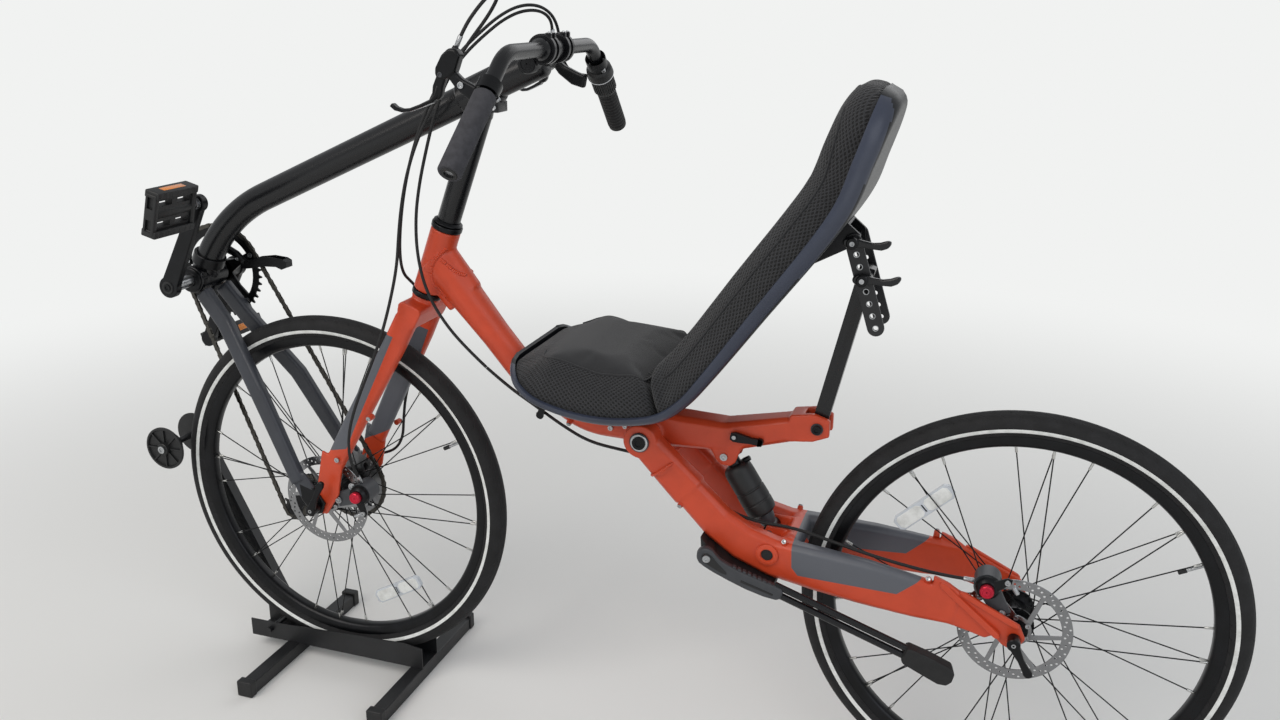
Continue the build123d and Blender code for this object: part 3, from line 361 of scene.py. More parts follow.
def turned(name, profile, centre, material, steps=64, smooth=35, side=1):  # a closed profile of (y, radius) on an axle
    piece = outlineEdit(name, [at(centre[0], centre[1] + r, side * y) for y, r in profile])
    bpy.ops.mesh.spin(steps=steps, angle=2 * pi, center=at(*centre), axis=(0, 1, 0))
    return finishMesh(piece, material, smooth)


def lathe(name, start, direction, profile, material, steps=40):  # a closed profile of (distance, radius)
    piece = outlineEdit(name, [Vector((r, 0, s)) / 1000 for s, r in profile])
    bpy.ops.mesh.spin(steps=steps, angle=2 * pi, center=(0, 0, 0), axis=(0, 0, 1))
    finishMesh(piece, material)
    piece.data.transform(turnedTo(start, direction))
    return piece


def joined(name, pieces, material=None):
    startPiece()
    for piece in pieces:
        piece.select_set(True)
    bpy.context.view_layer.objects.active = pieces[0]
    if len(pieces) > 1:
        bpy.ops.object.join()
    return named(name, material)


def copied(piece, matrix):  # one more of the same piece, with its own mesh, moved in place
    copy = piece.copy()
    copy.data = piece.data.copy()
    bpy.context.scene.collection.objects.link(copy)
    copy.data.transform(matrix)
    if matrix.determinant() < 0:
        copy.data.flip_normals()
    return copy


def turnAbout(centre, angle):  # a turn in the side view
    point = at(*centre)
    return Matrix.Translation(point) @ Matrix.Rotation(angle, 4, "Y") @ Matrix.Translation(-point)


def cut(piece, cutters):
    for cutter in cutters:
        modifier = piece.modifiers.new("cut", "BOOLEAN")
        modifier.operation, modifier.object, modifier.solver = "DIFFERENCE", cutter, "EXACT"
        applyAll(piece)
        bpy.data.objects.remove(cutter)
    shadeBy()
    return piece


def refined(node, name, material, bevel=0.8, segments=2):  # a CAD node's copy with its edges broken
    piece = copied(nodes[node], nodes[node].matrix_world.copy())
    piece.parent = None
    piece.matrix_world = Matrix.Identity(4)
    piece.hide_render = piece.hide_viewport = False
    only(piece)
    bpy.ops.object.mode_set(mode="EDIT")
    bpy.ops.mesh.select_all(action="SELECT")
    bpy.ops.mesh.remove_doubles(threshold=0.00001)
    bpy.ops.mesh.dissolve_limited(angle_limit=radians(0.1))
    finishMesh(piece, material)
    named(name, material)
    return addBevel(piece, bevel, segments) if bevel else piece


def melted(node, name, material, voxel=2.2, passes=12, share=0.5, more=()):  # a copy with welded, flowing edges
    piece = refined(node, name, material, bevel=0) if node else more[0]
    if more:
        piece = joined(name, [piece] + [extra for extra in more if extra != piece], material)
    skin = piece.modifiers.new("skin", "REMESH")
    skin.mode, skin.voxel_size, skin.use_smooth_shade = "VOXEL", voxel / 1000, True
    soft = piece.modifiers.new("soft", "SMOOTH")
    soft.factor, soft.iterations = 0.5, passes
    thin = piece.modifiers.new("thin", "DECIMATE")
    thin.ratio = share
    applyAll(piece)
    bpy.ops.object.shade_smooth()
    return piece


def cable(name, route, thick, material="softRubber", kind="NURBS", rings=3):  # a round line through points in metres
    curve = bpy.data.curves.new(name, "CURVE")
    curve.dimensions = "3D"
    line = curve.splines.new(kind)
    line.points.add(len(route) - 1)
    for point, spot in zip(line.points, route):
        point.co = (*spot, 1.0)
    if kind == "NURBS":
        line.use_endpoint_u, line.order_u, line.resolution_u = True, 3, 6
    curve.bevel_depth, curve.bevel_resolution, curve.use_fill_caps = thick / 2000, rings, True
    holder = bpy.data.objects.new(name, curve)
    bpy.context.scene.collection.objects.link(holder)
    mesh = bpy.data.meshes.new_from_object(holder.evaluated_get(bpy.context.evaluated_depsgraph_get()))
    piece = bpy.data.objects.new(name, mesh)
    bpy.context.scene.collection.objects.link(piece)
    bpy.data.objects.remove(holder)
    mesh.materials.clear()
    mesh.materials.append(materials[material])
    for face in mesh.polygons:
        face.use_smooth = True
    piece.name = name
    return piece


def bentTube(name, corners, bend, radius, material):  # a round tube along straight runs that are joined by arcs
    route, bend = [corners[0]], bend / 1000
    for before, corner, after in zip(corners, corners[1:], corners[2:]):
        back, on = (before - corner).normalized(), (after - corner).normalized()
        half = back.angle(on) / 2
        centre = corner + (back + on).normalized() * bend / sin(half)
        start, end = corner + back * bend / tan(half) - centre, corner + on * bend / tan(half) - centre
        for k in range(25):
            route.append(centre + Matrix.Rotation((pi - 2 * half) * k / 24, 3, start.cross(end).normalized()) @ start)
    return cable(name, route + [corners[-1]], radius * 2, material, "POLY", 14)


def place(piece, body, instead=()):
    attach(piece, body)
    if instead:
        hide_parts(*instead)
    return piece


def placeAll(name, pieces, body, instead=()):
    return place(joined(name, pieces), body, instead)


def socketBolt(name, point, direction, radius, height, material="zincSteel"):  # a cap screw with its hexagon socket
    direction, point = Vector(direction).normalized(), Vector(point)
    startPiece()
    bpy.ops.mesh.primitive_cylinder_add(vertices=20, radius=radius / 1000, depth=height / 1000,
                                        location=point + direction * height / 2000, rotation=facing(direction))
    piece = named(name, material)
    applyPlace(piece)
    bpy.ops.object.mode_set(mode="EDIT")
    bpy.ops.mesh.select_all(action="DESELECT")
    bpy.ops.object.mode_set(mode="OBJECT")
    for face in piece.data.polygons:
        face.select = face.normal.dot(direction) > 0.9
    bpy.ops.object.mode_set(mode="EDIT")
    bpy.ops.mesh.inset(thickness=radius * 0.00018, depth=0)
    bpy.ops.mesh.inset(thickness=radius * 0.0003, depth=0)
    bpy.ops.mesh.extrude_region_move(TRANSFORM_OT_translate={"value": tuple(-direction * height * 0.00055)})
    bpy.ops.object.mode_set(mode="OBJECT")
    return addBevel(piece, min(radius, height) * 0.12, 2, 50)


def sideBolt(name, spot, y, side, radius, height, material="zincSteel"):  # a cap screw along Y
    return socketBolt(name, at(*spot, y), (0, side, 0), radius, height, material)


# Camera, from the two wheels' circles in the picture
camera = {"place": (0.5264, -1.5715, 1.1820), "forward": (-0.2988, 0.9035, -0.3074), "up": (-0.1058, 0.2887, 0.9515),
          "lens": 31.57}
bpy.ops.object.camera_add(location=camera["place"])
shot = bpy.context.object
forward = Vector(camera["forward"]).normalized()
right = forward.cross(Vector(camera["up"])).normalized()
up = right.cross(forward)
shot.matrix_world = Matrix.Translation(camera["place"]) @ Matrix((right, up, -forward)).transposed().to_4x4()
shot.data.lens, shot.data.sensor_width, shot.data.clip_end = camera["lens"], 36.0, 50
bpy.context.scene.camera = shot

# Floor, soft lamps and a pale world. Size of the lamps in metres, power in watts.
lamps = (("key", (-1.6, -2.6, 3.2), 2.6, 72, "#FFF9F3"), ("fill", (3.0, -2.2, 2.2), 2.6, 26, "#F2F6FF"),
         ("back", (0.6, 3.0, 2.6), 2.6, 20, "#FFFFFF"))
lampAim, worldStrength, pale = Vector((0.0, 0, 0.5)), 0.62, linear("#F1F2F1")
bpy.ops.mesh.primitive_plane_add(size=80, location=(0, 0, 0))
floor = named("floor")
tree, shader, ground = startMaterial("paleFloor", "#E4E4E2", 0.9, Specular_IOR_Level=0.2)
rays = addNode(tree, "LightPath")
seen = addNode(tree, "Math", {0: rays.outputs["Is Camera Ray"], 1: rays.outputs["Is Glossy Ray"]}, operation="MAXIMUM")
seen = addNode(tree, "Math", {0: seen.outputs[0], 1: rays.outputs["Is Transmission Ray"]}, operation="MAXIMUM")
reach = addNode(tree, "VectorMath", {0: ground}, operation="LENGTH")
fade = addNode(tree, "MapRange", {"Value": reach.outputs["Value"], "From Min": 1.1, "From Max": 3.4},
               interpolation_type="SMOOTHSTEP")
share = addNode(tree, "Math", {0: fade.outputs["Result"], 1: seen.outputs[0]}, operation="MULTIPLY")
glow = addNode(tree, "Emission", {"Color": pale, "Strength": 1.0})
addNode(tree, "MixShader", {0: share.outputs[0], 1: shader.outputs[0], 2: glow.outputs[0]},
        {0: tree.nodes["Material Output"].inputs["Surface"]})
floor.data.materials.append(materials["paleFloor"])
for name, spot, size, power, tint in lamps:
    bpy.ops.object.light_add(type="AREA", location=spot)
    lamp = bpy.context.object
    lamp.name = name
    lamp.data.size, lamp.data.energy, lamp.data.color = size, power, linear(tint)[:3]
    lamp.rotation_euler = (lampAim - Vector(spot)).to_track_quat("-Z", "Y").to_euler()
world = bpy.data.worlds.new("studio")
bpy.context.scene.world = world
world.use_nodes = True
sky = world.node_tree
light = sky.nodes["Background"]
light.inputs["Color"].default_value, light.inputs["Strength"].default_value = linear("#E8EAEC"), worldStrength
behind = addNode(sky, "Background", {"Color": pale, "Strength": 1.0})
addNode(sky, "MixShader", {0: addNode(sky, "LightPath").outputs["Is Camera Ray"], 1: light.outputs[0],
                           2: behind.outputs[0]}, {0: sky.nodes["World Output"].inputs["Surface"]})
bpy.context.scene.view_settings.view_transform = "Standard"
print("camera and light placed")

# Wheels
wheel = {"tyreCentre": 299.0, "casing": 19.0, "rimInner": 266.0, "stripe": (290.0, 296.5), "spoke": 1.0, "nipple": 2.1,
         "perSide": 16, "flangeLip": 3.5, "flangeThick": 3.0, "flanges": ((-32.0, 24.0), (22.0, 24.0)),
         "rimSpread": 3.0, "sweep": 62.0, "treadCuts": 168, "treadSlant": 150.0, "treadFrom": (0.0035, 0.0045),
         "treadTo": (0.0145, 0.0135), "groove": 0.9, "arcSteps": 13, "arcStep": 8.8,
         "inside": ((10.4, 281.5), (10.0, 277.3)), "discHoles": ((69.5, 0.0), (73.0, 0.35), (76.5, 0.7)),
         "discBolts": 20.0, "valveSpin": 1.1}
rimProfile = [(6, 266), (-6, 266), (-10, 268.3), (-12.2, 272.5), (-12.5, 283.4), (-11.9, 284), (-10.9, 284),
              (-10.5, 277), (10.5, 277), (10.9, 284), (11.9, 284), (12.5, 283.4), (12.2, 272.5), (10, 268.3)]


def treadMaterial(name, axle):  # the tyre's rubber with slanted cuts round the crown
    tree, shader, where = variant("tyreRubber", name)
    local = addNode(tree, "Mapping", {"Vector": where, "Location": -at(*axle)}).outputs["Vector"]
    split = addNode(tree, "SeparateXYZ", {"Vector": local})
    flat = addNode(tree, "CombineXYZ", {"X": split.outputs["X"], "Y": split.outputs["Z"]})
    turn = addNode(tree, "TexGradient", {"Vector": flat.outputs["Vector"]}, gradient_type="RADIAL")
    side = addNode(tree, "Math", {0: split.outputs["Y"]}, operation="ABSOLUTE")
    slant = addNode(tree, "Math", {0: side.outputs[0], 1: wheel["treadSlant"]}, operation="MULTIPLY")
    count = addNode(tree, "Math", {0: turn.outputs["Fac"], 1: float(wheel["treadCuts"]), 2: slant.outputs[0]},
                    operation="MULTIPLY_ADD")
    wave = addNode(tree, "Math", {0: count.outputs[0], 1: 1.0}, operation="PINGPONG")
    cuts = addNode(tree, "MapRange", {"Value": wave.outputs[0], "From Min": 0.0, "From Max": 0.16})
    zone, end = (addNode(tree, "MapRange", {"Value": side.outputs[0], "From Min": low, "From Max": high})
                 for low, high in (wheel["treadFrom"], wheel["treadTo"]))
    zoned = addNode(tree, "Math", {0: zone.outputs[0], 1: end.outputs[0]}, operation="MULTIPLY")
    off = addNode(tree, "Math", {0: 1.0, 1: cuts.outputs[0]}, operation="SUBTRACT")
    depth = addNode(tree, "Math", {0: off.outputs[0], 1: zoned.outputs[0]}, operation="MULTIPLY")
    height = addNode(tree, "Math", {0: 1.0, 1: depth.outputs[0]}, operation="SUBTRACT")
    old = shader.inputs["Normal"].links[0].from_socket
    addNode(tree, "Bump", {"Height": height.outputs[0], "Strength": 0.8, "Distance": 0.0012, "Normal": old},
            {"Normal": shader.inputs["Normal"]})


def makeTyre(prefix, axle):
    treadMaterial(prefix + "TyreRubber", axle)
    profile = []
    for k in range(-wheel["arcSteps"], wheel["arcSteps"] + 1):
        radius = wheel["casing"] - (wheel["groove"] if abs(k) == 2 else 0.0)  # two grooves round the crown
        angle = radians(k * wheel["arcStep"])
        profile.append((radius * sin(angle), wheel["tyreCentre"] + radius * cos(angle)))
    profile += [*wheel["inside"], *((-y, r) for y, r in reversed(wheel["inside"]))]
    tyre = turned(prefix + "TyreBody", profile, axle, "tyreRubber", 180, 50)
    tyre.data.materials[0] = materials[prefix + "TyreRubber"]
    tyre.data.materials.append(materials["reflectiveTape"])
    hub = at(*axle)
    for face in tyre.data.polygons:
        radius = 1000 * sqrt((face.center.x - hub.x) ** 2 + (face.center.z - hub.z) ** 2)
        if wheel["stripe"][0] < radius < wheel["stripe"][1]:
            face.material_index = 1
    return tyre


def makeSpokes(prefix, axle):
    master = rod(prefix + "Spoke", (0, 0, 0), (0, 0, 1), wheel["spoke"], "anodisedBlack", 8)
    cap = rod(prefix + "Nipple", (0, 0, -0.0125), (0, 0, 0.0), wheel["nipple"], "nippleBrass", 8, bevel=0.3)
    spokes, nipples = [], []
    for flange, (flangeY, holeRadius) in enumerate(wheel["flanges"]):
        outward = 1 if flangeY > 0 else -1
        for i in range(wheel["perSide"]):
            outside = i % 4 < 2  # two spokes leave the flange outside, the next two inside
            hubAngle = 2 * pi * (i + flange / 2) / wheel["perSide"]
            rimAngle = hubAngle + (1 if i % 2 else -1) * radians(wheel["sweep"])
            edgeRun = sqrt((holeRadius + wheel["flangeLip"]) ** 2 - holeRadius**2)
            lean = edgeRun * (abs(flangeY) - wheel["rimSpread"]) / wheel["rimInner"]
            gap = wheel["flangeThick"] / 2 + wheel["spoke"] + (lean + 0.2 if outside else 0.3)
            lift = gap if outside else -gap
            start = at(*onCircle(axle, holeRadius, hubAngle), flangeY + outward * lift)
            end = at(*onCircle(axle, wheel["rimInner"] + 0.6, rimAngle), outward * wheel["rimSpread"])
            turnTo = (end - start).normalized().to_track_quat("Z", "Y").to_matrix().to_4x4()
            spokes.append(copied(master, Matrix.Translation(start) @ turnTo @
                                 Matrix.Scale((end - start).length, 4, (0, 0, 1))))
            nipples.append(copied(cap, Matrix.Translation(end) @ turnTo))
            head = Vector((0, outward * lift / (500 if outside else 520), 0))
            spokes.append(rod("head", start, start - head, 1.7 if outside else 1.5, "anodisedBlack", 8))
    bpy.data.objects.remove(master)
    bpy.data.objects.remove(cap)
    return joined(prefix + "SpokeSet", spokes), joined(prefix + "NippleSet", nipples)


def makeHub(prefix, axle):
    (left, hole), (right, _) = wheel["flanges"]
    lip, half = hole + wheel["flangeLip"], wheel["flangeThick"] / 2
    profile = [(-67.2, 2.9), (-67.2, 9), (-58, 9), (-57, 12), (-49.2, 12), (-49.2, 19), (-42, 19), (-41, 17),
               (left - 4, 17), (left - half, lip - 3), (left - half, lip), (left + half, lip), (left + half, lip - 3),
               (left + 6, 16), (0, 13.5), (right - 6, 16), (right - half, lip - 3), (right - half, lip),
               (right + half, lip), (right + half, lip - 4), (right + 5, 17), (29.5, 17), (29.8, 9), (67.2, 9),
               (67.2, 2.9)]
    return turned(prefix + "HubShell", profile, axle, "anodisedBlack", 48)


def makeRotor(prefix, axle):
    rotor = refined(prefix + "_rotor", prefix + "BrakeDisc", "turnedSteel", 0.2, 1)
    holes = [across("hole", onCircle(axle, radius, 2 * pi * (k + shift) / 24), -53, -43, 1.9, "turnedSteel", 10)
             for k in range(24) for radius, shift in wheel["discHoles"]]
    cut(rotor, [joined("holes", holes)])
    spots = [onCircle(axle, wheel["discBolts"], 2 * pi * (k + 0.5) / 6) for k in range(6)]
    bolts = [sideBolt("bolt", spot, -49, -1, 3.6, 2.6) for spot in spots]
    return rotor, joined(prefix + "DiscBolts", bolts)


# Reflectors: a narrow lens with rounded ends, two prism panels behind its face and a clip. Each row is
# length, width, low and high Y, shift along the lens and material.
reflector = {"spin": {"front": -60.8, "rear": 133.6}, "reach": 208.0,
             "end": ((-0.5, 0.25), (-0.3, 0), (0.3, 0), (0.5, 0.25)),  # shares of the width, across and back
             "panels": ((102.0, 25.0, -4.8, 3.4, 0, "clearPrismAcrylic"), (44, 21, -5.3, 0, -25, "reflectiveTape"),
                        (44, 21, -5.3, 0, 25, "reflectiveTape"), (5, 12, -5.8, 0, 0, "clearPrismAcrylic"))}


def makeReflector(prefix, axle):
    spin = radians(reflector["spin"][prefix])
    d, n = (cos(spin), sin(spin)), (-sin(spin), cos(spin))
    middle = along(axle, d, reflector["reach"])
    parts = []
    for long, wide, low, high, shift, kind in reflector["panels"]:
        spots = [(share * wide, 0.5 * long - drop * wide) for share, drop in reflector["end"]]
        spots += [(x, -y) for x, y in reversed(spots)]
        parts.append(plate("lens", [along(along(middle, d, x), n, y + shift) for x, y in spots], low, high, kind, 1.2))
    return joined(prefix + "Lens", parts)


for prefix in ("front", "rear"):
    body, axle = prefix + "_wheel", bike[prefix + "Axle"]
    place(makeTyre(prefix, axle), body, [prefix + "_tyre"])
    place(turned(prefix + "RimHoop", rimProfile, axle, "anodisedBlack", 144), body, [prefix + "_rim"])
    spokes, nipples = makeSpokes(prefix, axle)
    place(spokes, body, [prefix + "_spokes"])
    place(nipples, body)
    place(makeHub(prefix, axle), body, [prefix + "_hub"])
    rotor, bolts = makeRotor(prefix, axle)
    place(rotor, body, [prefix + "_rotor"])
    place(bolts, body)
    place(makeReflector(prefix, axle), body, [prefix + "_reflector"])
    stem = rod("valve", at(axle[0], axle[1] + 240), at(axle[0], axle[1] + 266.5), 2.6, "zincSteel", 12, 2.2)
    cap = rod("cap", at(axle[0], axle[1] + 232), at(axle[0], axle[1] + 244), 3.4, "mouldedBlack", 12, bevel=0.6)
    valve = joined(prefix + "Valve", [stem, cap])
    valve.data.transform(turnAbout(axle, wheel["valveSpin"]))
    place(valve, body)
print("wheels built")

# Drive: sprockets, chainring, cranks, pedals and chain
drive = {"pitch": 12.7, "ringTeeth": 40, "sprockets": (32, 28, 25, 22, 20, 17, 15, 13), "wheelTeeth": 11,
         "ringPlane": 46.0, "inner": 30.5, "step": 4.0, "thick": 1.8, "crankFace": 92.0, "toothTip": 3.0,
         "toothRoot": 3.7, "guide": (-86, -24), "tension": (-127, -70), "plateEnd": 3.9, "plateWaist": 3.0}
chainPlane = drive["inner"] + drive["thick"] / 2


def pitchRadius(teeth):
    return drive["pitch"] / (2 * sin(pi / teeth))


def cog(name, centre, teeth, low, high, material, phase=0.0, bore=0.0):
    tip, root = drive["toothTip"], -drive["toothRoot"]
    points = [onCircle(centre, pitchRadius(teeth) + offset, 2 * pi * (k + share + phase) / teeth) for k in range(teeth)
              for share, offset in ((0.0, root), (0.24, root + 0.4), (0.42, tip), (0.58, tip), (0.76, root + 0.4))]
    piece = plate(name, points, low, high, material, 0)
    return cut(piece, [across("bore", centre, low - 5, high + 5, bore, material, 48)]) if bore else piece


def windows(centre, count, radius, size, low, high, phase=0.0):
    spots = [onCircle(centre, radius, 2 * pi * (k + phase) / count) for k in range(count)]
    return joined("windows", [across("window", spot, low - 3, high + 3, size, "mouldedBlack", 14) for spot in spots])


axle = bike["frontAxle"]
stack = []
for i, teeth in enumerate(drive["sprockets"]):
    low = drive["inner"] + i * drive["step"]
    sprocket = cog("sprocket", axle, teeth, low, low + drive["thick"], "brushedSteel", i * 0.37)
    if i < 4:
        cut(sprocket, [windows(axle, 8, pitchRadius(teeth) * 0.74, pitchRadius(teeth) * 0.14, low, low + 2, i * 0.2)])
    stack.append(sprocket)
placeAll("sprocketStack", stack, "cassette", ["cassette"])
carrier = [(30.6, 9.6), (30.6, 20), (36, 24), (44, 20), (62.3, 17), (62.3, 9.6)]
lockring = [(61.6, 9.6), (61.6, 19), (62.4, 19), (62.4, 9.6)]
placeAll("sprocketCarrier", [turned("carrier", carrier, axle, "anodisedBlack", 40),
                             turned("lockring", lockring, axle, "brushedSteel", 40)], "cassette")

crankSpin = radians(bike["crankAngle"])
bracket = bike["bracket"]
ringEdge = pitchRadius(drive["ringTeeth"]) - 10
chainwheel = [cog("ring", bracket, drive["ringTeeth"], 44.7, 47.3, "anodisedBlack", 0.0, ringEdge - 5)]
for k in range(5):
    spin = crankSpin + pi + 2 * pi * k / 5
    arm = ribbon(bracket, (cos(spin), sin(spin)), ((6, 14), (42, 6.5), (ringEdge, 7)))
    far = onCircle(bracket, ringEdge, spin)
    chainwheel += [plate("arm", arm, 47.4, 52.5, "anodisedBlack", 1.2), sideBolt("ringBolt", far, 52.5, 1, 4.6, 1.6),
                   sideBolt("ringNut", far, 44.6, -1, 4.6, 1.4)]
chainwheel.append(turned("hubRing", [(47.4, 11.6), (47.4, 20), (56, 20), (62, 16), (78.6, 16), (78.6, 11.6)], bracket,
                         "anodisedBlack", 40))
placeAll("chainwheel", chainwheel, "crankset", ["chainring"])

# Cranks and their platform pedals
pedal = {"wide": 0.095, "long": 0.075, "thick": 0.026, "inner": 12.0, "tilt": {"left": 75.0, "right": 20.0},
         "rail": 0.012, "tooth": (0.008, 0.005, 0.0022), "toothPitch": 0.0125, "teeth": 7,
         "window": (0.019, 0.007, 0.011), "windowAt": 0.0185, "slot": (0.009, 0.030, 0.05), "slotAt": (0.017, 0.021)}
for side, hand in ((-1, "left"), (1, "right")):
    end = along(bracket, (-cos(crankSpin), -sin(crankSpin)), side * bike["crank"])
    face = side * drive["crankFace"]
    parts = [refined("crank_" + hand, hand, "anodisedBlack", 3.2, 4),
             turned("cap", [(face * 0.99, 1), (face * 0.99, 11.5), (face + side * 1.6, 10.5), (face + side * 1.6, 1)],
                    bracket, "mouldedBlack", 32),
             sideBolt("stud", bracket, face + side * 0.8, side, 6.5, 2.2, "anodisedBlack"),
             turned("pedalBoss", [(face * 0.99, 1), (face * 0.99, 9.5), (face + side * 0.9, 9), (face + side * 0.9, 1)],
                    end, "zincSteel", 24)]
    placeAll("crankArm" + hand.title(), parts, "crankset", ["crank_" + hand])

    wide, long, thick = pedal["wide"], pedal["long"], pedal["thick"]
    rail, plateY = long / 2 - 0.006, wide / 2 - 0.005
    parts = []
    for edge in (-1, 1):  # front and back rails with their gripping teeth, and the reflectors in them
        parts.append(block("rail", (edge * rail, 0, 0), (pedal["rail"], wide - 0.004, thick), "mouldedBlack", 2.0, 3))
        parts.append(block("lens", (edge * (long / 2 - 0.0006), 0, 0), (0.0016, wide * 0.52, thick * 0.44),
                           "amberPrismAcrylic", 0.5))
        for top in (-1, 1):
            for k in range(pedal["teeth"]):
                spot = (edge * rail, (k - 3) * pedal["toothPitch"], top * (thick / 2 - 0.0006))
                parts.append(block("tooth", spot, pedal["tooth"], "mouldedBlack", 0.5, 1))
    for edge in (-1, 1):  # side plates, each with two windows
        sidePlate = block("sidePlate", (0, edge * plateY, 0), (long - 0.01, 0.009, thick * 0.78), "mouldedBlack", 2, 3)
        parts.append(cut(sidePlate, [block("window", (k * pedal["windowAt"], edge * (plateY + 0.004), 0),
                                           pedal["window"], "mouldedBlack", 0) for k in (-1, 1)]))
    web = block("web", (0, 0, 0), (long - 0.02, wide - 0.012, thick * 0.5), "mouldedBlack", 1.4, 2)
    slotX, slotY = pedal["slotAt"]
    parts.append(cut(web, [block("slot", (k * slotX, edge * slotY, 0), pedal["slot"], "mouldedBlack", 0)
                           for k in (-1, 1) for edge in (-1, 1)]))
    parts.append(rod("barrel", (0, 0.003 - wide / 2, 0), (0, wide / 2 - 0.003, 0), 9.5, "mouldedBlack", 24, bevel=1.5))
    start = drive["crankFace"] + pedal["inner"]
    platform = joined("platform", parts)
    platform.data.transform(Matrix.Translation(at(*end, side * (start + wide * 500))) @
                            Matrix.Rotation(radians(-pedal["tilt"][hand]), 4, "Y"))
    pin = across("pin", end, side * 92.3, side * (start + 4), 6, "brushedSteel", 20, 0.6)
    flat = across("flat", end, side * 96, side * 99, 8.5, "brushedSteel", 6, 0.5)
    placeAll("pedal" + hand.title(), [platform, pin, flat], "pedal_" + hand, ["pedal_" + hand])
print("cranks and pedals built")

# Chain: one outer and one inner link modelled once, copied along the belt line
guideWheel, tensionWheel = (along(axle, drive[key], 1) for key in ("guide", "tension"))


def beltLine(wheels, spacing):  # even steps along the straight runs and arcs round wheels of (centre, radius, way, y)
    headings, ends, stretches, points = [], [], [], []
    for (a, ra, wa, _), (b, rb, wb, _) in zip(wheels, wheels[1:] + wheels[:1]):
        dx, dz = b[0] - a[0], b[1] - a[1]
        headings.append(atan2(dz, dx) - asin((wb * rb - wa * ra) / sqrt(dx * dx + dz * dz)))

    def onWheel(centre, radius, way, y, heading):
        return Vector((centre[0] + way * radius * sin(heading), y, centre[1] - way * radius * cos(heading)))

    for i, facts in enumerate(wheels):
        ends.append([onWheel(*facts, heading) for heading in (headings[i - 1], headings[i])])
    for i, (centre, radius, way, y) in enumerate(wheels):
        turn = (headings[i] - headings[i - 1]) * way % (2 * pi)
        leave, meet = ends[i][1], ends[(i + 1) % len(ends)][0]
        stretches += [("arc", radius * turn, (centre, radius, way, y, headings[i - 1])),
                      ("run", (meet - leave).length, (leave, meet))]
    total = sum(stretch[1] for stretch in stretches)
    count = 2 * round(total / spacing / 2)
    for k in range(count):
        left = total * k / count
        for kind, length, facts in stretches:
            if left <= length:
                break
            left -= length
        if kind == "arc":
            points.append(onWheel(*facts[:4], facts[4] + facts[2] * left / facts[1]))
        else:
            points.append(facts[0].lerp(facts[1], left / length))
    return points


def linkPlate(offset, thick):  # a waisted side plate one pitch long, centred on the line
    points = []
    for side, first in ((1, -75), (-1, 105)):
        end = (side * drive["pitch"] / 2, 0)
        points += [onCircle(end, drive["plateEnd"], radians(first + 25 * k)) for k in range(7)]
        points.append((0, side * drive["plateWaist"]))
    return slab("plate", [Vector((x, offset, z)) / 1000 for x, z in points], thick, "chainSteel")


def makeLink(plates, pin, half, radius, sides):  # two plates with a rivet or a roller at each end
    parts = [linkPlate(offset, 0.8) for offset in plates]
    for end in (-1, 1):
        middle, reach = Vector((end * drive["pitch"] / 2000, 0, 0)), Vector((0, half, 0))
        parts.append(rod(pin, middle - reach, middle + reach, radius, "chainSteel", sides))
    return joined("link", parts)


masters = [makeLink((-2.5, 1.7), "rivet", 0.0026, 1.8, 8), makeLink((-1.65, 0.85), "roller", 0.0009, 3.6, 10)]
small = pitchRadius(drive["wheelTeeth"])
line = beltLine([(bracket, pitchRadius(drive["ringTeeth"]), -1, drive["ringPlane"]),
                 (axle, pitchRadius(drive["sprockets"][0]), -1, chainPlane), (guideWheel, small, 1, chainPlane),
                 (tensionWheel, small, -1, chainPlane)], drive["pitch"])
links = []
for k, point in enumerate(line):
    a, b = (at(p.x, p.z, p.y) for p in (point, line[(k + 1) % len(line)]))
    run = (b - a).normalized()
    aside = (Vector((0, 1, 0)) - run * run.y).normalized()
    basis = Matrix((run, aside, run.cross(aside))).transposed().to_4x4()
    links.append(copied(masters[k % 2], Matrix.Translation((a + b) / 2) @ basis))
for master in masters:
    bpy.data.objects.remove(master)
placeAll("chainLinks", links, "front_end", ["chain"])
print("chain built:", len(line), "links")


# Two-colour paint: the panels are masked by planes through the part, as the painter's tape would be
def taped(name, panel, groups):  # a group is a list of (point, direction), and a spot inside it lies past them all
    tree, shader, where = variant("powderCoatOrange", name)
    whole = None
    for planes in groups:
        least = None
        for point, direction in planes:
            normal = Vector(direction).normalized()
            dot = addNode(tree, "VectorMath", {0: where, 1: normal}, operation="DOT_PRODUCT")
            past = addNode(tree, "Math", {0: dot.outputs["Value"], 1: normal.dot(Vector(point))}, operation="SUBTRACT")
            least = past.outputs[0] if least is None else \
                addNode(tree, "Math", {0: least, 1: past.outputs[0]}, operation="MINIMUM").outputs[0]
        whole = least if whole is None else addNode(tree, "Math", {0: whole, 1: least}, operation="MAXIMUM").outputs[0]
    mask = addNode(tree, "MapRange", {"Value": whole, "From Min": -0.0003, "From Max": 0.0003})
    orange = shader.inputs["Base Color"].links[0].from_socket
    addNode(tree, "Mix", {0: mask.outputs["Result"], 6: orange, 7: linear(panel)}, {2: shader.inputs["Base Color"]},
            data_type="RGBA")


def inView(x, z):  # a direction in the side view
    return Vector((x, 0, z))


# Fork: grey on the front half of each blade's outer face, and on the whole inner face of the right one
taped("forkPaint", "#565960", [
    [(at(148, 646, -82), inView(-0.91, 0.415)), (at(48, 455, -82), inView(-0.2, 1)),
     (at(140, 662, -82), inView(-0.3, -1)), (at(0, 0, 0), (0, -1, 0))],
    [(at(128, 560, 60), inView(-0.91, 0.415)), (at(66, 445, 60), inView(-0.5, 1)),
     (at(140, 655, 82), inView(-0.3, -1)), (at(0, 0, 0), (0, 1, 0))]])
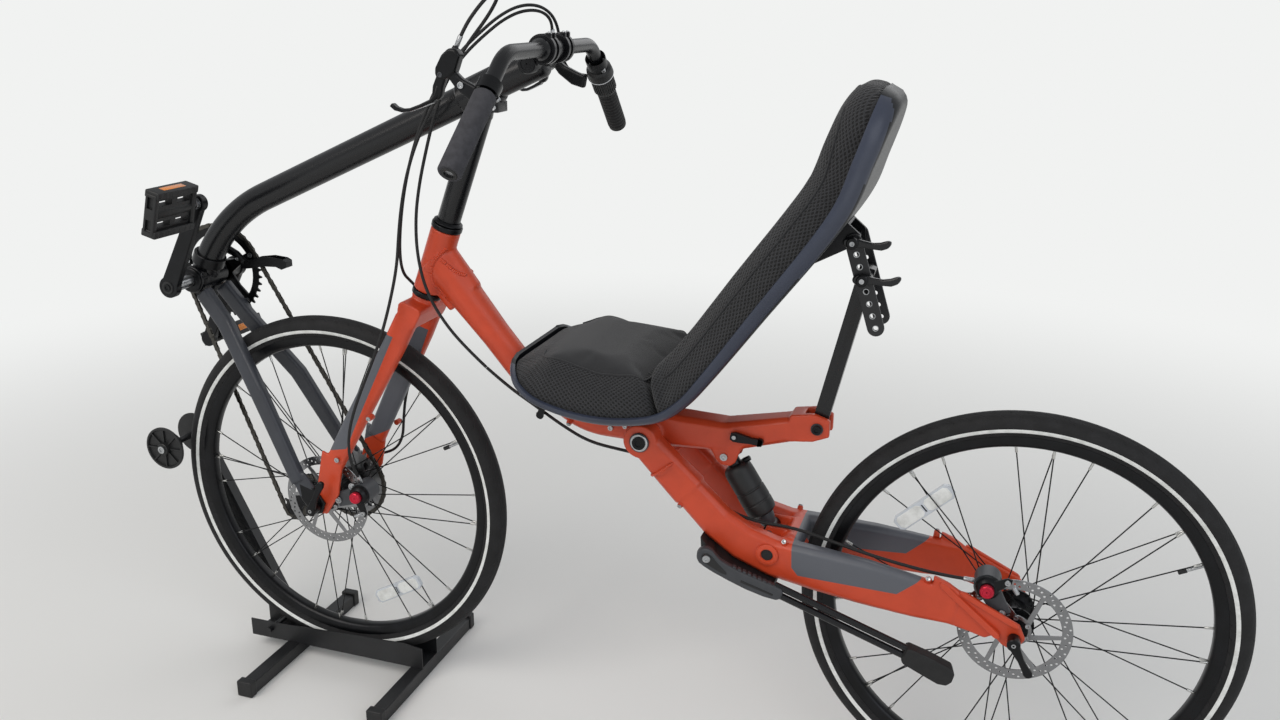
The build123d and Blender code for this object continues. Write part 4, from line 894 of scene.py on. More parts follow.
# Swingarm: a long grey panel along the top of each leg with a rounded front and a slanted end
taped("armPaint", "#585B62", [
    [(at(819, 388), inView(1, 0.05)), (at(829, 361), inView(0.75, 0.66)), (at(842, 353), inView(0.04, 1)),
     (at(990, 372), inView(-0.66, 0.75)), (at(820, 360), inView(0, 1))]])


def guide(point, direction, material="powderCoatOrange"):  # a cable clip's stud with its screw
    point, direction = Vector(point), Vector(direction).normalized()
    base = rod("stud", point - direction * 0.006, point + direction * 0.006, 5.2, material, 16, 4.4, bevel=0.6)
    return [base, socketBolt("screw", point + direction * 0.006, direction, 3.6, 2.4)]


def weldBead(centre, direction, radius, thick, count):  # a ring of overlapping dimes
    startPiece()
    bpy.ops.mesh.primitive_torus_add(major_radius=radius / 1000, minor_radius=thick / 1000, major_segments=count * 4,
                                     minor_segments=10)
    piece = named("bead", "powderCoatOrange")
    for vertex in piece.data.vertices:
        angle = atan2(vertex.co.y, vertex.co.x)
        around = Vector((cos(angle), sin(angle), 0)) * radius / 1000
        vertex.co = around + (vertex.co - around) * (0.86 + 0.14 * cos(angle * count))
    piece.data.transform(turnedTo(centre, direction))
    bpy.ops.object.shade_smooth()
    return piece


fork = melted("fork", "forkBlades", "powderCoatOrange", 1.7, 8, 0.4)
fork.data.materials[0] = materials["forkPaint"]
place(fork, "front_end", ["fork"])
bits = guide(at(118, 524, -80), (0, -1, 0)) + guide(at(71, 453, 81), (0, 1, 0))
bits.append(sideBolt("boss", (45, 437), -76, -1, 4.4, 2.4))
placeAll("forkFittings", bits, "front_end")

stays = melted("chainstays", "chainstayPair", "satinPaintGrey", 1.7, 8, 0.4)
stays.data.materials.append(materials["anodisedBlack"])
for face in stays.data.polygons:  # the black dropouts are bolted into the stays' ends
    face.material_index = 1 if (face.center - at(*axle, face.center.y * 1000)).length < 0.034 else 0
place(stays, "front_end", ["chainstays"])

# Head tube bearings, bottom bracket, boom and riser
bar = {"centre": (414.0, 1110.0), "bend": 160.0, "end": (405.0, 972.0), "wide": 312.0, "grip": {-1: 129.0, 1: 92.0},
       "lever": {-1: 129.0, 1: 152.0}}
boom = {"knee": (49, 106), "foot": (-12, -23), "end": (-22, -22.5), "saddle": 545, "bend": 270, "radius": 22.5}
place(refined("headset_cups", "headsetCups", "anodisedBlack", 1.6, 3), "frame", ["headset_cups"])
shell = refined("bottom_bracket", "bracketShell", "satinBlackTube", 1.2, 3)
cups = [turned("cup", [(33.6, 11.6), (33.6, 21), (37.4, 21), (38.6, 19), (38.6, 11.6)], bracket, "anodisedBlack", 48,
               side=s) for s in (-1, 1)]
placeAll("bracket", [shell] + cups, "front_end", ["bottom_bracket"])
knee, foot = along(bracket, boom["knee"], 1), along(bracket, boom["foot"], 1)
boomEnd = along(bar["centre"], boom["end"], 1)
boomWay, _ = between(knee, boomEnd)
boomUp = (-boomWay[1], boomWay[0])
saddle = along(knee, boomWay, boom["saddle"])
place(bentTube("boomTube", [at(*foot), at(*knee), at(*boomEnd)], boom["bend"], boom["radius"], "satinBlackTube"),
      "front_end", ["boom"])
headUp = (cos(radians(bike["headAngle"])), sin(radians(bike["headAngle"])))
riserFoot, riserTop = along(bike["headTop"], headUp, 9.6), along(bike["headTop"], headUp, 194)
neckLow, neckHigh = at(*along(riserTop, headUp, -6)), at(*along(saddle, boomUp, -8))
riser = [rod("post", at(*riserFoot), at(*riserTop), 18.5, "satinBlackTube", 56, bevel=0.8),
         rod("neck", neckLow, neckHigh, 20, "satinBlackTube", 56, bevel=3),
         lathe("sleeve", at(*saddle), inView(*boomWay),
               [(-32, 22.6), (-32, 25.4), (-29.5, 27.4), (29.5, 27.4), (32, 25.4), (32, 22.6)], "satinBlackTube", 64)]
placeAll("riserTube", riser, "front_end", ["riser"])
barPath = [at(*bar["end"], -bar["wide"]), at(*bar["centre"], -bar["bend"]), at(*bar["centre"], bar["bend"]),
           at(*bar["end"], bar["wide"])]
bulge = turned("bulge", [(-52, 5), (-52, 11), (-45, 15.9), (45, 15.9), (52, 11), (52, 5)], bar["centre"],
               "satinBlackTube", 48)
placeAll("handlebarTube", [bentTube("bar", barPath, 60, 11.1, "satinBlackTube"), bulge], "front_end",
         ["handlebar"])
bolts = []
for edge in (-17, 17):  # two pinch bolts under the saddle clamp
    spot = along(along(saddle, boomWay, edge), boomUp, -31)
    bolts += [block("lug", at(*spot), (0.014, 0.034, 0.016), "satinBlackTube", 1.6, 3),
              sideBolt("bolt", spot, -17, -1, 4.6, 4.0), across("nut", spot, 16.5, 20.5, 5.4, sides=6, bevel=0.4)]
placeAll("saddleClampBolts", bolts, "front_end")
clamps, clamp = [], {"bands": (19.7, 34.7), "turns": (62, 242), "lug": (0.0085, 0.0064, 0.0070)}
sleeve = [(14, 15.95), (14, 19), (16, 19), (16.4, 21.6), (23, 21.6), (23.4, 19), (31, 19), (31.4, 21.6), (38, 21.6),
          (38.4, 19), (40, 18.4), (40, 15.95)]
crossTube = [(4, 1), (4, 14.5), (39, 14.5), (41, 13.2), (41, 9), (40, 8.6), (40, 1)]
for s in (-1, 1):  # on each side a sleeve with two hinged bands, each closed by a bolt above and below
    clamps.append(turned("sleeve", sleeve, bar["centre"], "anodisedBlack", 56, side=s))
    for band in clamp["bands"]:
        for turn in clamp["turns"]:
            way, middle = inView(cos(radians(turn)), sin(radians(turn))), at(*bar["centre"], s * band)
            clamps += [block("lug", middle + way * 0.0222, clamp["lug"], "anodisedBlack", 1.2, 2),
                       socketBolt("bolt", middle + way * 0.0238, way, 2.9, 3.0)]
    clamps.append(turned("crossTube", crossTube, along(boomEnd, boomUp, 2), "satinBlackTube", 48, side=s))
dome = [(-8, 0.5), (-8, 22.4), (4, 22.4), (8, 20), (10.5, 15), (11.6, 8), (11.8, 0.5)]
clamps.append(lathe("cap", at(*along(boomEnd, boomWay, 2)), inView(*boomWay), dome, "satinBlackTube", 56))
placeAll("barClamps", clamps, "front_end", ["bar_clamps"])

# Grips, twist shifter and brake levers
plug = [(-0.6, 7.2), (-0.6, 10.6), (0.3, 11.3), (3, 11.3), (3, 7.2)]
gripRibs = {"sleeve": 11, "pitch": 7.6, "shifter": 30}
twist = [(1, 11.8), (1, 16.5), (3, 17.4), (34, 18.4), (38, 19.4), (40, 19.4), (42, 21.4), (47, 21.8), (56, 20.6),
         (59.6, 17), (59.6, 11.8)]
lever = {"perch": ((400, 1060), (384, 1066), (362, 1076), (346, 1090), (338, 1080), (352, 1062), (374, 1046),
                   (396, 1040)),
         "pod": ((344, 1116), (355, 1115), (361, 1107), (353, 1086), (343, 1077), (330, 1074), (322, 1080),
                 (323, 1090), (333, 1107)),
         "knuckle": ((339, 1080), (325, 1083), (317, 1066), (315, 1052), (324, 1046), (330, 1052), (333, 1066)),
         "blade": ((327, 1066), (323, 1053), (316, 1046), (302, 1039.5), (288, 1034), (278, 1033), (270, 1035.5),
                   (264, 1041)), "thick": (3.4, 3.2, 2.8, 2.3, 2.2, 2.3, 2.6, 3.0),
         "spread": 180.0, "reach": 22.0, "wide": 6.8}
grips, levers, shifter = [], [], []
for s in (-1, 1):
    end = at(*bar["end"], s * bar["wide"])
    way = (at(*bar["centre"], s * bar["bend"]) - end).normalized()
    long = bar["grip"][s]
    if s < 0:  # long foam sleeve with a hard plug
        foam = [(-3, 11.4), (-3, 14.6), (-1, 16), (long - 2, 16), (long, 14.6), (long, 11.4)]
        grips.append(lathe("foam", end, way, foam, "foamGrip", 48))
    else:  # short rubber sleeve, ribbed round
        ribs = [(-3, 11.4), (-3, 15.2)]
        for k in range(gripRibs["sleeve"]):
            low = 3 + k * gripRibs["pitch"]
            ribs += [(low, 15.3), (low + 1, 16), (low + 5, 16), (low + 6, 15.3)]
        ribs += [(long - 1, 15.6), (long - 1, 11.4)]
        grips.append(lathe("rubber", end, way, ribs, "softRubber", 40))
        shifter.append(lathe("barrel", end, way, [(long + y, r) for y, r in twist], "mouldedBlack", 48))
        shifter.append(lathe("ring", end, way, [(long + 40.2, 17), (long + 40.2, 22), (long + 42.2, 22.2),
                                                (long + 42.2, 17)], "chromePlate", 48))
        for k in range(gripRibs["shifter"]):
            rib = block("rib", (0.0182, 0, (long + 20) / 1000), (0.0024, 0.0022, 0.028), "mouldedBlack", 0.5, 1)
            rib.data.transform(turnedTo(end, way) @ Matrix.Rotation(2 * pi * k / gripRibs["shifter"], 4, "Z"))
            shifter.append(rib)
    grips.append(lathe("plug", end - way * 0.0035, way, plug, "mouldedBlack", 40))
    grips.append(lathe("plugBore", end - way * 0.0005, way, [(-0.6, 0.2), (-0.6, 7.6), (0.2, 7.6), (0.2, 0.2)],
                       "brushedSteel", 32))
    hold = end + way * (bar["lever"][s] + 12) / 1000
    root = at(340, 1096, s * 172)
    band = [(0, 15.8), (0, 16.9), (19, 16.9), (19, 15.8)]
    screwLow, screwHigh = root + Vector((0.004, s * 0.006, 0.006)), root + Vector((0.0085, s * 0.001, 0.0215))
    levers += [lathe("band", hold - way * 0.0095, way, band, "anodisedBlack", 40),
               socketBolt("pinch", hold + Vector((0.012, 0, -0.012)), (0.3, s * -0.6, -0.8), 3.4, 4.2),
               rod("adjuster", screwLow, screwHigh, 4.2, "anodisedBlack", 20, bevel=0.8)]
    ferrule, upward = root + Vector((0.002, 0, 0.008)), inView(7 if s < 0 else 1, 16).normalized()
    for k in range(3):  # the rubber boot over the adjuster, in folds
        fold = [(0, 2.8), (0, 5.6 - k * 0.6), (2.6, 6.4 - k * 0.8), (4.4, 5.0 - k * 0.6), (4.4, 2.8)]
        levers.append(lathe("boot", ferrule + upward * (0.0005 + k * 0.0042), upward, fold, "softRubber", 24))
placeAll("gripPair", grips, "front_end", ["grips"])
placeAll("twistShifter", shifter, "front_end", ["shifters"])
pods = []
rows, wide = lever["blade"], lever["wide"]
ways = [between(rows[max(i - 1, 0)], rows[min(i + 1, len(rows) - 1)])[0] for i in range(len(rows))]


def offBlade(first, sign, extra):  # the blade's line moved out by its half thickness and something more
    return [along(p, (-w[1], w[0]), sign * t + extra) for p, w, t in zip(rows, ways, lever["thick"])][first:]


for s in (-1, 1):  # a perch from the bar, a rounded pivot pod, and a blade that curls up at its tip
    body = [plate("lever", outline, s * (lever["spread"] - high), s * (lever["spread"] - low), "anodisedBlack", 3.0)
            for outline, low, high in ((lever["pod"], -9, 9), (lever["knuckle"], -7, 6), (lever["perch"], -6, 7))]
    pods.append(melted(None, "leverPod", "anodisedBlack", 1.2, 9, 0.6, body))
    # a bright steel strip along one edge of the blade: a painted highlight, standing in for the light that edge catches
    edge = offBlade(2, 1, -0.5) + offBlade(2, 1, 0.35)[::-1]
    blades = [plate("blade", offBlade(0, 1, 0) + offBlade(0, -1, 0)[::-1], -wide, wide, "anodisedBlack", 1.7),
              plate("edgeHighlightStrip", edge, -wide * 0.7, wide * 0.7, "zincSteel", 0.3)]
    for piece in blades:
        for vertex in piece.data.vertices:
            out = limited((at(rows[0][0], 0).x - vertex.co.x) / 0.06)
            vertex.co.y = vertex.co.y * (1 - 0.25 * out) + s * (lever["spread"] + lever["reach"] * out) / 1000
    levers += blades + [sideBolt("perchBolt", (360, 1068), s * (lever["spread"] + 6.4), s, 4.6, 1.8),
                        sideBolt("hingeBolt", (331, 1081), s * (lever["spread"] + 8.6), s, 3.6, 1.2, "castGrey")]
placeAll("leverPods", pods, "front_end", ["brake_levers"])
placeAll("leverFittings", levers, "front_end")
print("bar, levers and grips built")

# Derailleurs
wheels = []
rear = [refined("rear_derailleur", "rearDerailleur", "anodisedBlack", 0.8, 2)]
for centre in (guideWheel, tensionWheel):
    wheels += [cog("wheel", centre, drive["wheelTeeth"], chainPlane - 1.0, chainPlane + 1.0, "mouldedBlack"),
               turned("hub", [(chainPlane - 3, 3.6), (chainPlane - 3, 8), (chainPlane + 3, 8), (chainPlane + 3, 3.6)],
                      centre, "mouldedBlack", 24)]
    rear += [sideBolt("wheelBolt", centre, chainPlane - 5.4, -1, 4.0, 1.6),
             sideBolt("wheelNut", centre, chainPlane + 5.2, 1, 4.0, 1.6)]
placeAll("guideWheels", wheels, "front_end", ["derailleur_wheels"])
rear.append(sideBolt("hangerBolt", (axle[0] - 32, axle[1] + 31), 97, 1, 5.2, 2.0))
placeAll("rearDerailleur", rear, "front_end", ["rear_derailleur"])

# Outlines of the front derailleur, from the bottom bracket's centre
shifting = {"guard": ((47, 15), (60, 23), (82, 30), (109, 34), (134, 32), (142, 28), (142, 17), (132, 13), (121, 17),
                      (97, 16), (72, 11), (52, 8)),
            "tail": ((133, 15), (142, 17), (142, 27), (134, 31), (136, 25), (136, 20)),
            "swing": ((12, 33), (28, 38), (44, 32), (60, 20), (66, 24), (50, 40), (30, 50), (14, 47)),
            "lug": ((2, 34), (12, 30), (26, 40), (16, 50))}


def shiftPlate(name, low, high, bevel):
    return plate(name, [along(bracket, spot, 1) for spot in shifting[name]], low, high, "anodisedBlack", bevel)


boomRun, _ = between(foot, knee)
front = [lathe("band", at(*along(foot, boomRun, 52)), inView(*boomRun),
               [(0, 22.8), (0, 26.4), (1, 27.2), (17, 27.2), (18, 26.4), (18, 22.8)], "anodisedBlack", 56),
         shiftPlate("guard", 36.6, 38.2, 0.6), shiftPlate("guard", 54.6, 56.2, 0.6),
         shiftPlate("tail", 37.6, 55.4, 0.8), shiftPlate("lug", 20, 30, 2),
         melted(None, "swing", "anodisedBlack", 1.2, 6, 0.6, [shiftPlate("swing", 24, 36.8, 2.5)])]
for spot in ((18, 42), (52, 29)):
    front.append(sideBolt("pin", along(bracket, spot, 1), 24.2, -1, 3.0, 1.6))
for spot in ((-230, 723), (-228, 711)):
    front += [block("lug", at(*spot, -24.5), (0.011, 0.009, 0.010), "anodisedBlack", 1.6, 3),
              sideBolt("bandBolt", spot, -28.9, -1, 3.4, 2.8)]
placeAll("frontDerailleur", front, "front_end", ["front_derailleur"])

# Brake calipers with their red adjusting knobs
caliper = {"centre": {"front": (78.0, 374.0), "rear": (1100.0, 389.0)},
           "housing": [(-65.8, 2), (-65.8, 17.5), (-70, 17.5), (-74, 15), (-77, 12), (-77, 2)],
           "knob": [(-76.8, 1), (-76.8, 9.4), (-84, 9.4), (-85.2, 8.2), (-85.2, 6.2), (-84.4, 5.8), (-84.4, 1)],
           "knurls": 20, "knurlRadius": 9.3, "knurlY": -80.4, "armReach": 34}


def makeCaliper(prefix):
    centre = caliper["centre"][prefix]
    way, _ = between(centre, bike[prefix + "Axle"])
    aside = (-way[1], way[0])
    bits = [refined(prefix + "_caliper", prefix + "CaliperBody", "castGrey", 1.4, 3),
            turned("housing", caliper["housing"], centre, "anodisedBlack", 40),
            turned("knob", caliper["knob"], centre, "anodisedRed", 40)]
    for k in range(caliper["knurls"]):
        spot = onCircle(centre, caliper["knurlRadius"], 2 * pi * k / caliper["knurls"])
        bits.append(block("grip", at(*spot, caliper["knurlY"]), (0.0012, 0.0062, 0.0012), "anodisedRed", 0, 1))
    arm = along(centre, aside, caliper["armReach"])
    shape = [along(centre, way, -9), along(centre, way, 9), along(arm, way, 5), along(arm, aside, 5),
             along(arm, way, -5)]
    low, high = at(*along(arm, way, 12), -69), at(*along(arm, way, 24), -69)
    bits += [plate("arm", shape, -75.5, -71.5, "anodisedBlack", 1.0),
             sideBolt("clampScrew", along(arm, aside, -3), -75.5, -1, 4.0, 3.4),
             rod("adjuster", low, high, 3.6, "zincSteel", 16, bevel=0.6)]
    for spot, face in ((along(along(centre, way, 10), aside, -17), -66), (along(centre, way, 44), -69)):
        bits += [sideBolt("mountScrew", spot, face, -1, 4.2, 3.6), across("washer", spot, face + 0.4, face - 0.6, 6.0)]
    return bits


# Skewers: a cam lever on the left and a round nut on the right. Each row is the lever's angle and the body.
skewer = {"front": (68, "front_end"), "rear": (-62, "frame")}


def quickRelease(point, angle, length, y):  # the lever's blade curves back towards the wheel
    way = (cos(radians(angle)), sin(radians(angle)))
    rows = ((-6, 5.0), (0, 7.5), (12, 6.4), (26, 4.6), (42, 5.4), (length - 8, 6.6), (length - 2, 5.2), (length, 2.4))
    blade = plate("lever", ribbon(point, way, rows), -7.0, -1.0, "anodisedBlack", 2.0)
    for vertex in blade.data.vertices:
        reach = (vertex.co - at(*point)).dot(inView(*way))
        vertex.co.y += max(0, reach) ** 2 * 2.2
    blade.data.transform(Matrix.Translation((0, y / 1000, 0)))
    return blade


for prefix, (_, body) in skewer.items():
    placeAll(prefix + "Caliper", makeCaliper(prefix), body, [prefix + "_caliper"])
for prefix, (angle, body) in skewer.items():
    hub, reach = bike[prefix + "Axle"], -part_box(prefix + "_skewer")[0][1] * 1000
    cam = [(-reach + 2, 1), (-reach + 2, 9.4), (-reach - 6, 9.4), (-reach - 7, 8), (-reach - 7, 1)]
    nut = [(reach - 9, 1), (reach - 9, 9.2), (reach - 1, 9.2), (reach + 0.4, 7.6), (reach + 0.4, 1)]
    bits = [refined(prefix + "_skewer", prefix + "Skewer", "anodisedBlack", 1.0, 2),
            quickRelease(hub, angle, 58, -reach - 0.6), turned("cam", cam, hub, "anodisedBlack", 32),
            sideBolt("camPin", hub, -reach - 6.6, -1, 3.2, 1.0), turned("nut", nut, hub, "zincSteel", 24)]
    placeAll(prefix + "QuickRelease", bits, body, [prefix + "_skewer"])
print("brakes and gears built")

# Cables: the same routes as the frame drawing's, in drawing millimetres turned to metres
cableThick = 5.0
routes = {
    "frontBrakeHousing": ("front_end", ["front_cables"], [
        (349.4, -172, 1118.6), (360, -170, 1142), (377, -161, 1168), (390, -143, 1188), (391, -122, 1192),
        (379, -107, 1176), (358, -98, 1152), (330, -91, 1124), (300, -84, 1090), (272, -78, 1052), (247, -74, 1014),
        (223, -72, 972), (204, -70, 926), (191, -69, 878), (183, -69, 830), (177, -69, 780), (164, -74, 722),
        (146, -79, 662), (122, -84, 604), (98, -89, 548), (80, -89, 496), (73, -82, 448), (75, -70, 416),
        (78, -60, 394.7)]),
    "gearHousing": ("front_end", [], [
        (393.1, 205.7, 1058.6), (371, 202, 1060), (354, 198, 1074), (349, 192, 1104), (350, 180, 1136),
        (346, 160, 1158), (335, 130, 1170), (317, 98, 1168), (298, 66, 1152), (281, 34, 1128), (266, 4, 1104),
        (252, -24, 1074), (237, -42, 1038), (219, -48, 996), (201, -50, 948), (187, -52, 896), (177, -52, 842),
        (168, -44, 792), (158, -20, 756), (152, 12, 736), (150, 44, 712), (146, 72, 674), (126, 85, 614),
        (102, 89, 552), (84, 90, 500), (77, 91, 456), (72, 94, 420), (56, 96, 393), (30, 96, 380), (4, 94, 377),
        (-21.6, 92, 377)]),
    "rearBrakeLoop": ("loop", ["rear_brake_loop"], [
        (343.1, 172, 1118.4), (345, 170, 1136), (344, 156, 1153), (335, 132, 1162), (319, 102, 1160), (302, 70, 1146),
        (286, 38, 1124), (273, 10, 1103), (263, -16, 1080), (252, -36, 1048), (240, -46, 1006), (226, -48, 958),
        (213, -50, 908), (205, -53, 856), (206, -56, 798), (218, -56, 742), (242, -50, 694), (274, -42, 652),
        (308, -34, 618)]),
    "rearBrakeHose": ("frame", ["rear_brake_hose"], [
        (308.4, -33.9, 617.6), (342, -27, 587), (387, -22, 558), (432, -19, 529), (476, -19, 508), (528, -20, 502),
        (580, -22, 499), (630, -25, 482), (674, -27, 452), (714, -27.2, 426), (760, -27.2, 416), (812, -28, 416.5),
        (862, -38, 411), (914, -49, 405), (966, -57, 400), (1014, -59, 395), (1050, -58, 392), (1080.5, -56, 391)])}
for name, (body, standIn, points) in routes.items():
    piece = cable(name, [at(x, z, y) for x, y, z in points], cableThick)
    if body == "loop":  # on the bicycle it bends as the handlebar turns; here it is only baked in place, under neither body
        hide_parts("rear_brake_loop")
        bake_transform(piece)
    else:
        place(piece, body, standIn)
for body, spots in (("front_end", (("frontBrakeHousing", 1), ("frontBrakeHousing", -1), ("gearHousing", -1),
                                   ("rearBrakeLoop", 1))), ("frame", (("rearBrakeHose", -1),))):
    ends = []
    for name, order in spots:
        start, following = (at(x, z, y) for x, y, z in routes[name][2][::order][:2])
        way = (following - start).normalized()
        ends.append(rod("ferrule", start - way * 0.001, start + way * 0.014, 3.4, "zincSteel", 16, bevel=0.5))
    placeAll(body + "Ferrules", ends, body)
print("cables laid")

# Main frame: the tubes flow into each other at the welds
main = {"bosses": ((454.0, 556.0), (515.7, 539.0)), "bossFace": 25.5, "tail": (838.0, 578.0),
        "welds": (((236, 801), (228, 793), (221, 784), (216, 773), (213, 761), (212, 750), (213, 742)),
                  ((231, 785), (240, 777), (249, 769), (258, 763), (268, 760)),
                  ((212, 741), (220, 739), (227, 731), (234, 723)))}
gusset = [rod("gusset", at(222, 806), at(270, 731), 13, "powderCoatOrange", 40, 19.5, 5),
          rod("brace", at(207, 734), at(237, 700), 9, "powderCoatOrange", 28, 8, 3)]
tubes = melted("main_frame", "mainFrameTubes", "powderCoatOrange", 1.9, 9, 0.4, gusset)


def weldLine(piece, points, s, size=3.1, step=2.6):  # overlapping dimes laid on the metal along a line in the side view
    bpy.ops.object.select_all(action="DESELECT")
    bpy.ops.mesh.primitive_uv_sphere_add(segments=10, ring_count=6, radius=size / 1000)
    master = named("dime", "powderCoatOrange")
    bpy.ops.object.shade_smooth()
    master.data.transform(Matrix.Diagonal((0.62, 1.15, 0.7, 1)))
    dimes = []
    for start, end in zip(points, points[1:]):
        way, length = between(start, end)
        for k in range(int(length / step)):
            x, z = along(start, way, k * step)
            hit, spot, normal, _ = piece.ray_cast(at(x, z, s * 90), (0, -s, 0))
            if hit:
                line = inView(*way)
                line = (line - normal * line.dot(normal)).normalized()
                basis = Matrix((line, normal.cross(line), normal)).transposed().to_4x4()
                dimes.append(copied(master, Matrix.Translation(spot) @ basis))
    bpy.data.objects.remove(master)
    return dimes


place(lathe("riserRing", at(*bike["headTop"]), inView(*headUp),
            [(9.8, 15), (9.8, 22.8), (11, 23.6), (12.6, 23.2), (15.4, 19.6), (15.4, 15)], "anodisedBlack", 48),
      "front_end")
beads = [dime for s in (-1, 1) for points in main["welds"] for dime in weldLine(tubes, points, s)]
beads.append(weldBead(at(*along(bike["pivot"], (-1, 0.12), 27)), inView(-1, 0.12), 24.6, 2.0, 40))
placeAll("mainFrame", [tubes] + beads, "frame", ["main_frame"])
bolts = [sideBolt("bottleBolt", spot, 0.2 - main["bossFace"], -1, 4.2, 3.2) for spot in main["bosses"]]
for spot in ((366, 582), (446, 541)):
    bolts += guide(at(*spot, -23), (0, -0.8, -0.6))
bolts += [sideBolt("padBolt", (x, 545), -26.5, -1, 3.6, 2.6) for x in (540, 552)]
placeAll("frameFittings", bolts, "frame")

# Swingarm with its pivot bolt, cable guides, ringed bore and ribbed dropouts
swing = {"taper": ((1026, 398), (1048, 389), (1084, 366), (1112, 338), (1118, 318), (1104, 310), (1080, 318),
                   (1050, 326), (1026, 334)),
         "thinFrom": (0.074, 1046), "thinRun": 0.066, "thinBy": 0.0058, "bore": (782, 386),
         "ring": [(60, 9), (60, 17), (72.2, 17), (73.6, 14.5), (73.6, 10.4), (71.5, 9)],
         "ribs": (((1036, 390), (1124, 318), 5.0, 82.0), ((1064, 379), (1148, 338), 4.2, 79.0))}
tapers = []
for s in (-1, 1):  # the arm's end thins out into the dropout
    taper = plate("taper", swing["taper"], s * 68, s * 79.2, "powderCoatOrange", 2.0)
    for vertex in taper.data.vertices:
        if abs(vertex.co.y) > swing["thinFrom"][0]:
            past = limited((vertex.co.x - at(swing["thinFrom"][1], 0).x) / swing["thinRun"])
            vertex.co.y -= s * swing["thinBy"] * past
    tapers.append(taper)
arm = melted("swingarm", "swingarmLegs", "powderCoatOrange", 1.9, 9, 0.4, tapers)
arm.data.materials[0] = materials["armPaint"]
place(arm, "frame", ["swingarm"])
bits = []
pin = [refined("pivot_bolt", "pivotBolt", "zincSteel", 0.8, 2)]
for s in (-1, 1):
    bits += [turned("ring", swing["ring"], swing["bore"], "powderCoatOrange", 40, side=s),
             turned("bore", [(60, 0.5), (60, 9.2), (70.8, 9.2), (70.8, 0.5)], swing["bore"], "softRubber", 32, side=s)]
    for start, end, wide, face in swing["ribs"]:
        way, length = between(start, end)
        rows = ((0, wide * 0.4), (8, wide), (length - 6, wide), (length, wide * 0.5))
        bits.append(plate("rib", ribbon(start, way, rows), s * 72.5, s * face, "powderCoatOrange", 2.2))
    bits += guide(at(1019, 391, s * 76), (0, s, 0.7)) + guide(at(806, 405, s * 62), (0, s * 0.8, 0.8))
    bits += guide(at(643, 443, s * 56), (-0.3, s, -0.5))
    bits.append(weldBead(at(613, 498, s * 47), (0.62, 0, -0.78), 25.5, 2.2, 36))
    washer = [(63.2, 8), (63.2, 15.4), (66, 15.4), (66.6, 14.6), (66.6, 8)]
    pin += [turned("washer", washer, bike["pivot"], "castGrey", 40, side=s),
            sideBolt("head", bike["pivot"], s * 66.4, s, 10.6, 3.2, "anodisedBlack")]
placeAll("swingarmFittings", bits, "frame")
placeAll("pivotPin", pin, "frame", ["pivot_bolt"])
print("frame and swingarm built")

# Shock: a short shaft, an air can with grooves and a foot, between its two eyelets
shock = {"top": (699.0, 515.0), "foot": (774.0, 398.0),
         "can": [(23, 9), (23, 13), (24, 17), (27, 20.4), (32, 22.4), (38, 23), (66, 23.2), (67, 22.3), (69, 22.3),
                 (70, 23.6), (88, 24), (89, 23.2), (91, 23.2), (92, 24), (104, 23.8), (109, 22.6), (112, 19), (113, 9)]}
way, _ = between(shock["top"], shock["foot"])
start, direction, aside = at(*shock["top"]), inView(*way), (-way[1], way[0])
bits = [lathe("can", start, direction, shock["can"], "mouldedBlack", 56),
        lathe("shaft", start, direction, [(8, 1), (8, 11), (26, 11), (26, 1)], "anodisedBlack", 32),
        lathe("foot", start, direction, [(112, 1), (112, 15.5), (120, 14.5), (127, 12.5), (131, 11), (131, 1)],
              "castGrey", 32)]
for spot in (shock["top"], shock["foot"]):
    bits.append(turned("eyelet", [(-17, 4), (-17, 10.5), (17, 10.5), (17, 4)], spot, "anodisedBlack", 36))
    bits += [sideBolt("eyeBolt", spot, s * 23.6, s, 6.0, 3.2) for s in (-1, 1)]
    bits.append(across("eyePin", spot, -24, 24, 4))
valve = along(along(shock["top"], way, 24), aside, 15)
bits.append(rod("valve", at(*valve), at(*along(valve, aside, 12)), 4.2, "anodisedBlack", 18, bevel=0.8))
placeAll("shockUnit", bits, "frame", ["shock"])

# Seat: a dished shell on a smooth curve, two filled cushions on it, a strut behind with its hole plates and levers
seat = {"line": ((374, 650), (398, 625), (430, 606), (478, 592), (530, 586), (580, 589), (630, 601), (668, 628),
                 (705, 672), (773, 764), (871, 899), (903, 978), (930, 1060)), "split": (629, 601),
        "half": 144.5, "topHalf": 96.0, "frontHalf": 122.0, "skin": 5.5, "lift": 6.0, "fillet": 17.0, "lipLow": 11.0,
        "lipHigh": 25.0, "corner": (44.0, 66.0), "padGap": 6.8, "pressure": 4.0, "steps": 20, "voxel": 5.0, "cap": 8.0,
        "flat": 0.2, "border": 20.0, "nose": (374, 70), "shoulder": (790, 270), "backFrom": 700, "lipRun": (330, 520),
        "rowEase": (0.6, 0.4), "columnEase": 1.7, "shellGrid": (120, 44), "padGrid": (90, 40), "clear": 0.8,
        "sideWall": 0.45, "quality": 6, "mass": 0.3, "bending": 1.0, "stiffness": 12, "seamWidth": 8.0, "above": 130}


def smoothLine(points, parts=9):  # a curve through the drawing's points, as (x, z, run along it)
    out = []
    for i in range(len(points) - 1):
        p0, p1, p2, p3 = (points[min(max(i + k, 0), len(points) - 1)] for k in (-1, 0, 1, 2))
        for k in range(parts + (1 if i == len(points) - 2 else 0)):
            f = k / parts
            spot = [0.5 * (2 * b + (c - a) * f + (2 * a - 5 * b + 4 * c - d) * f * f + (3 * b - a - 3 * c + d) * f**3)
                    for a, b, c, d in zip(p0, p1, p2, p3)]
            out.append((*spot, out[-1][2] + between(out[-1], spot)[1] if out else 0.0))
    return out


seatLine = smoothLine(seat["line"])
seatLong = seatLine[-1][2]


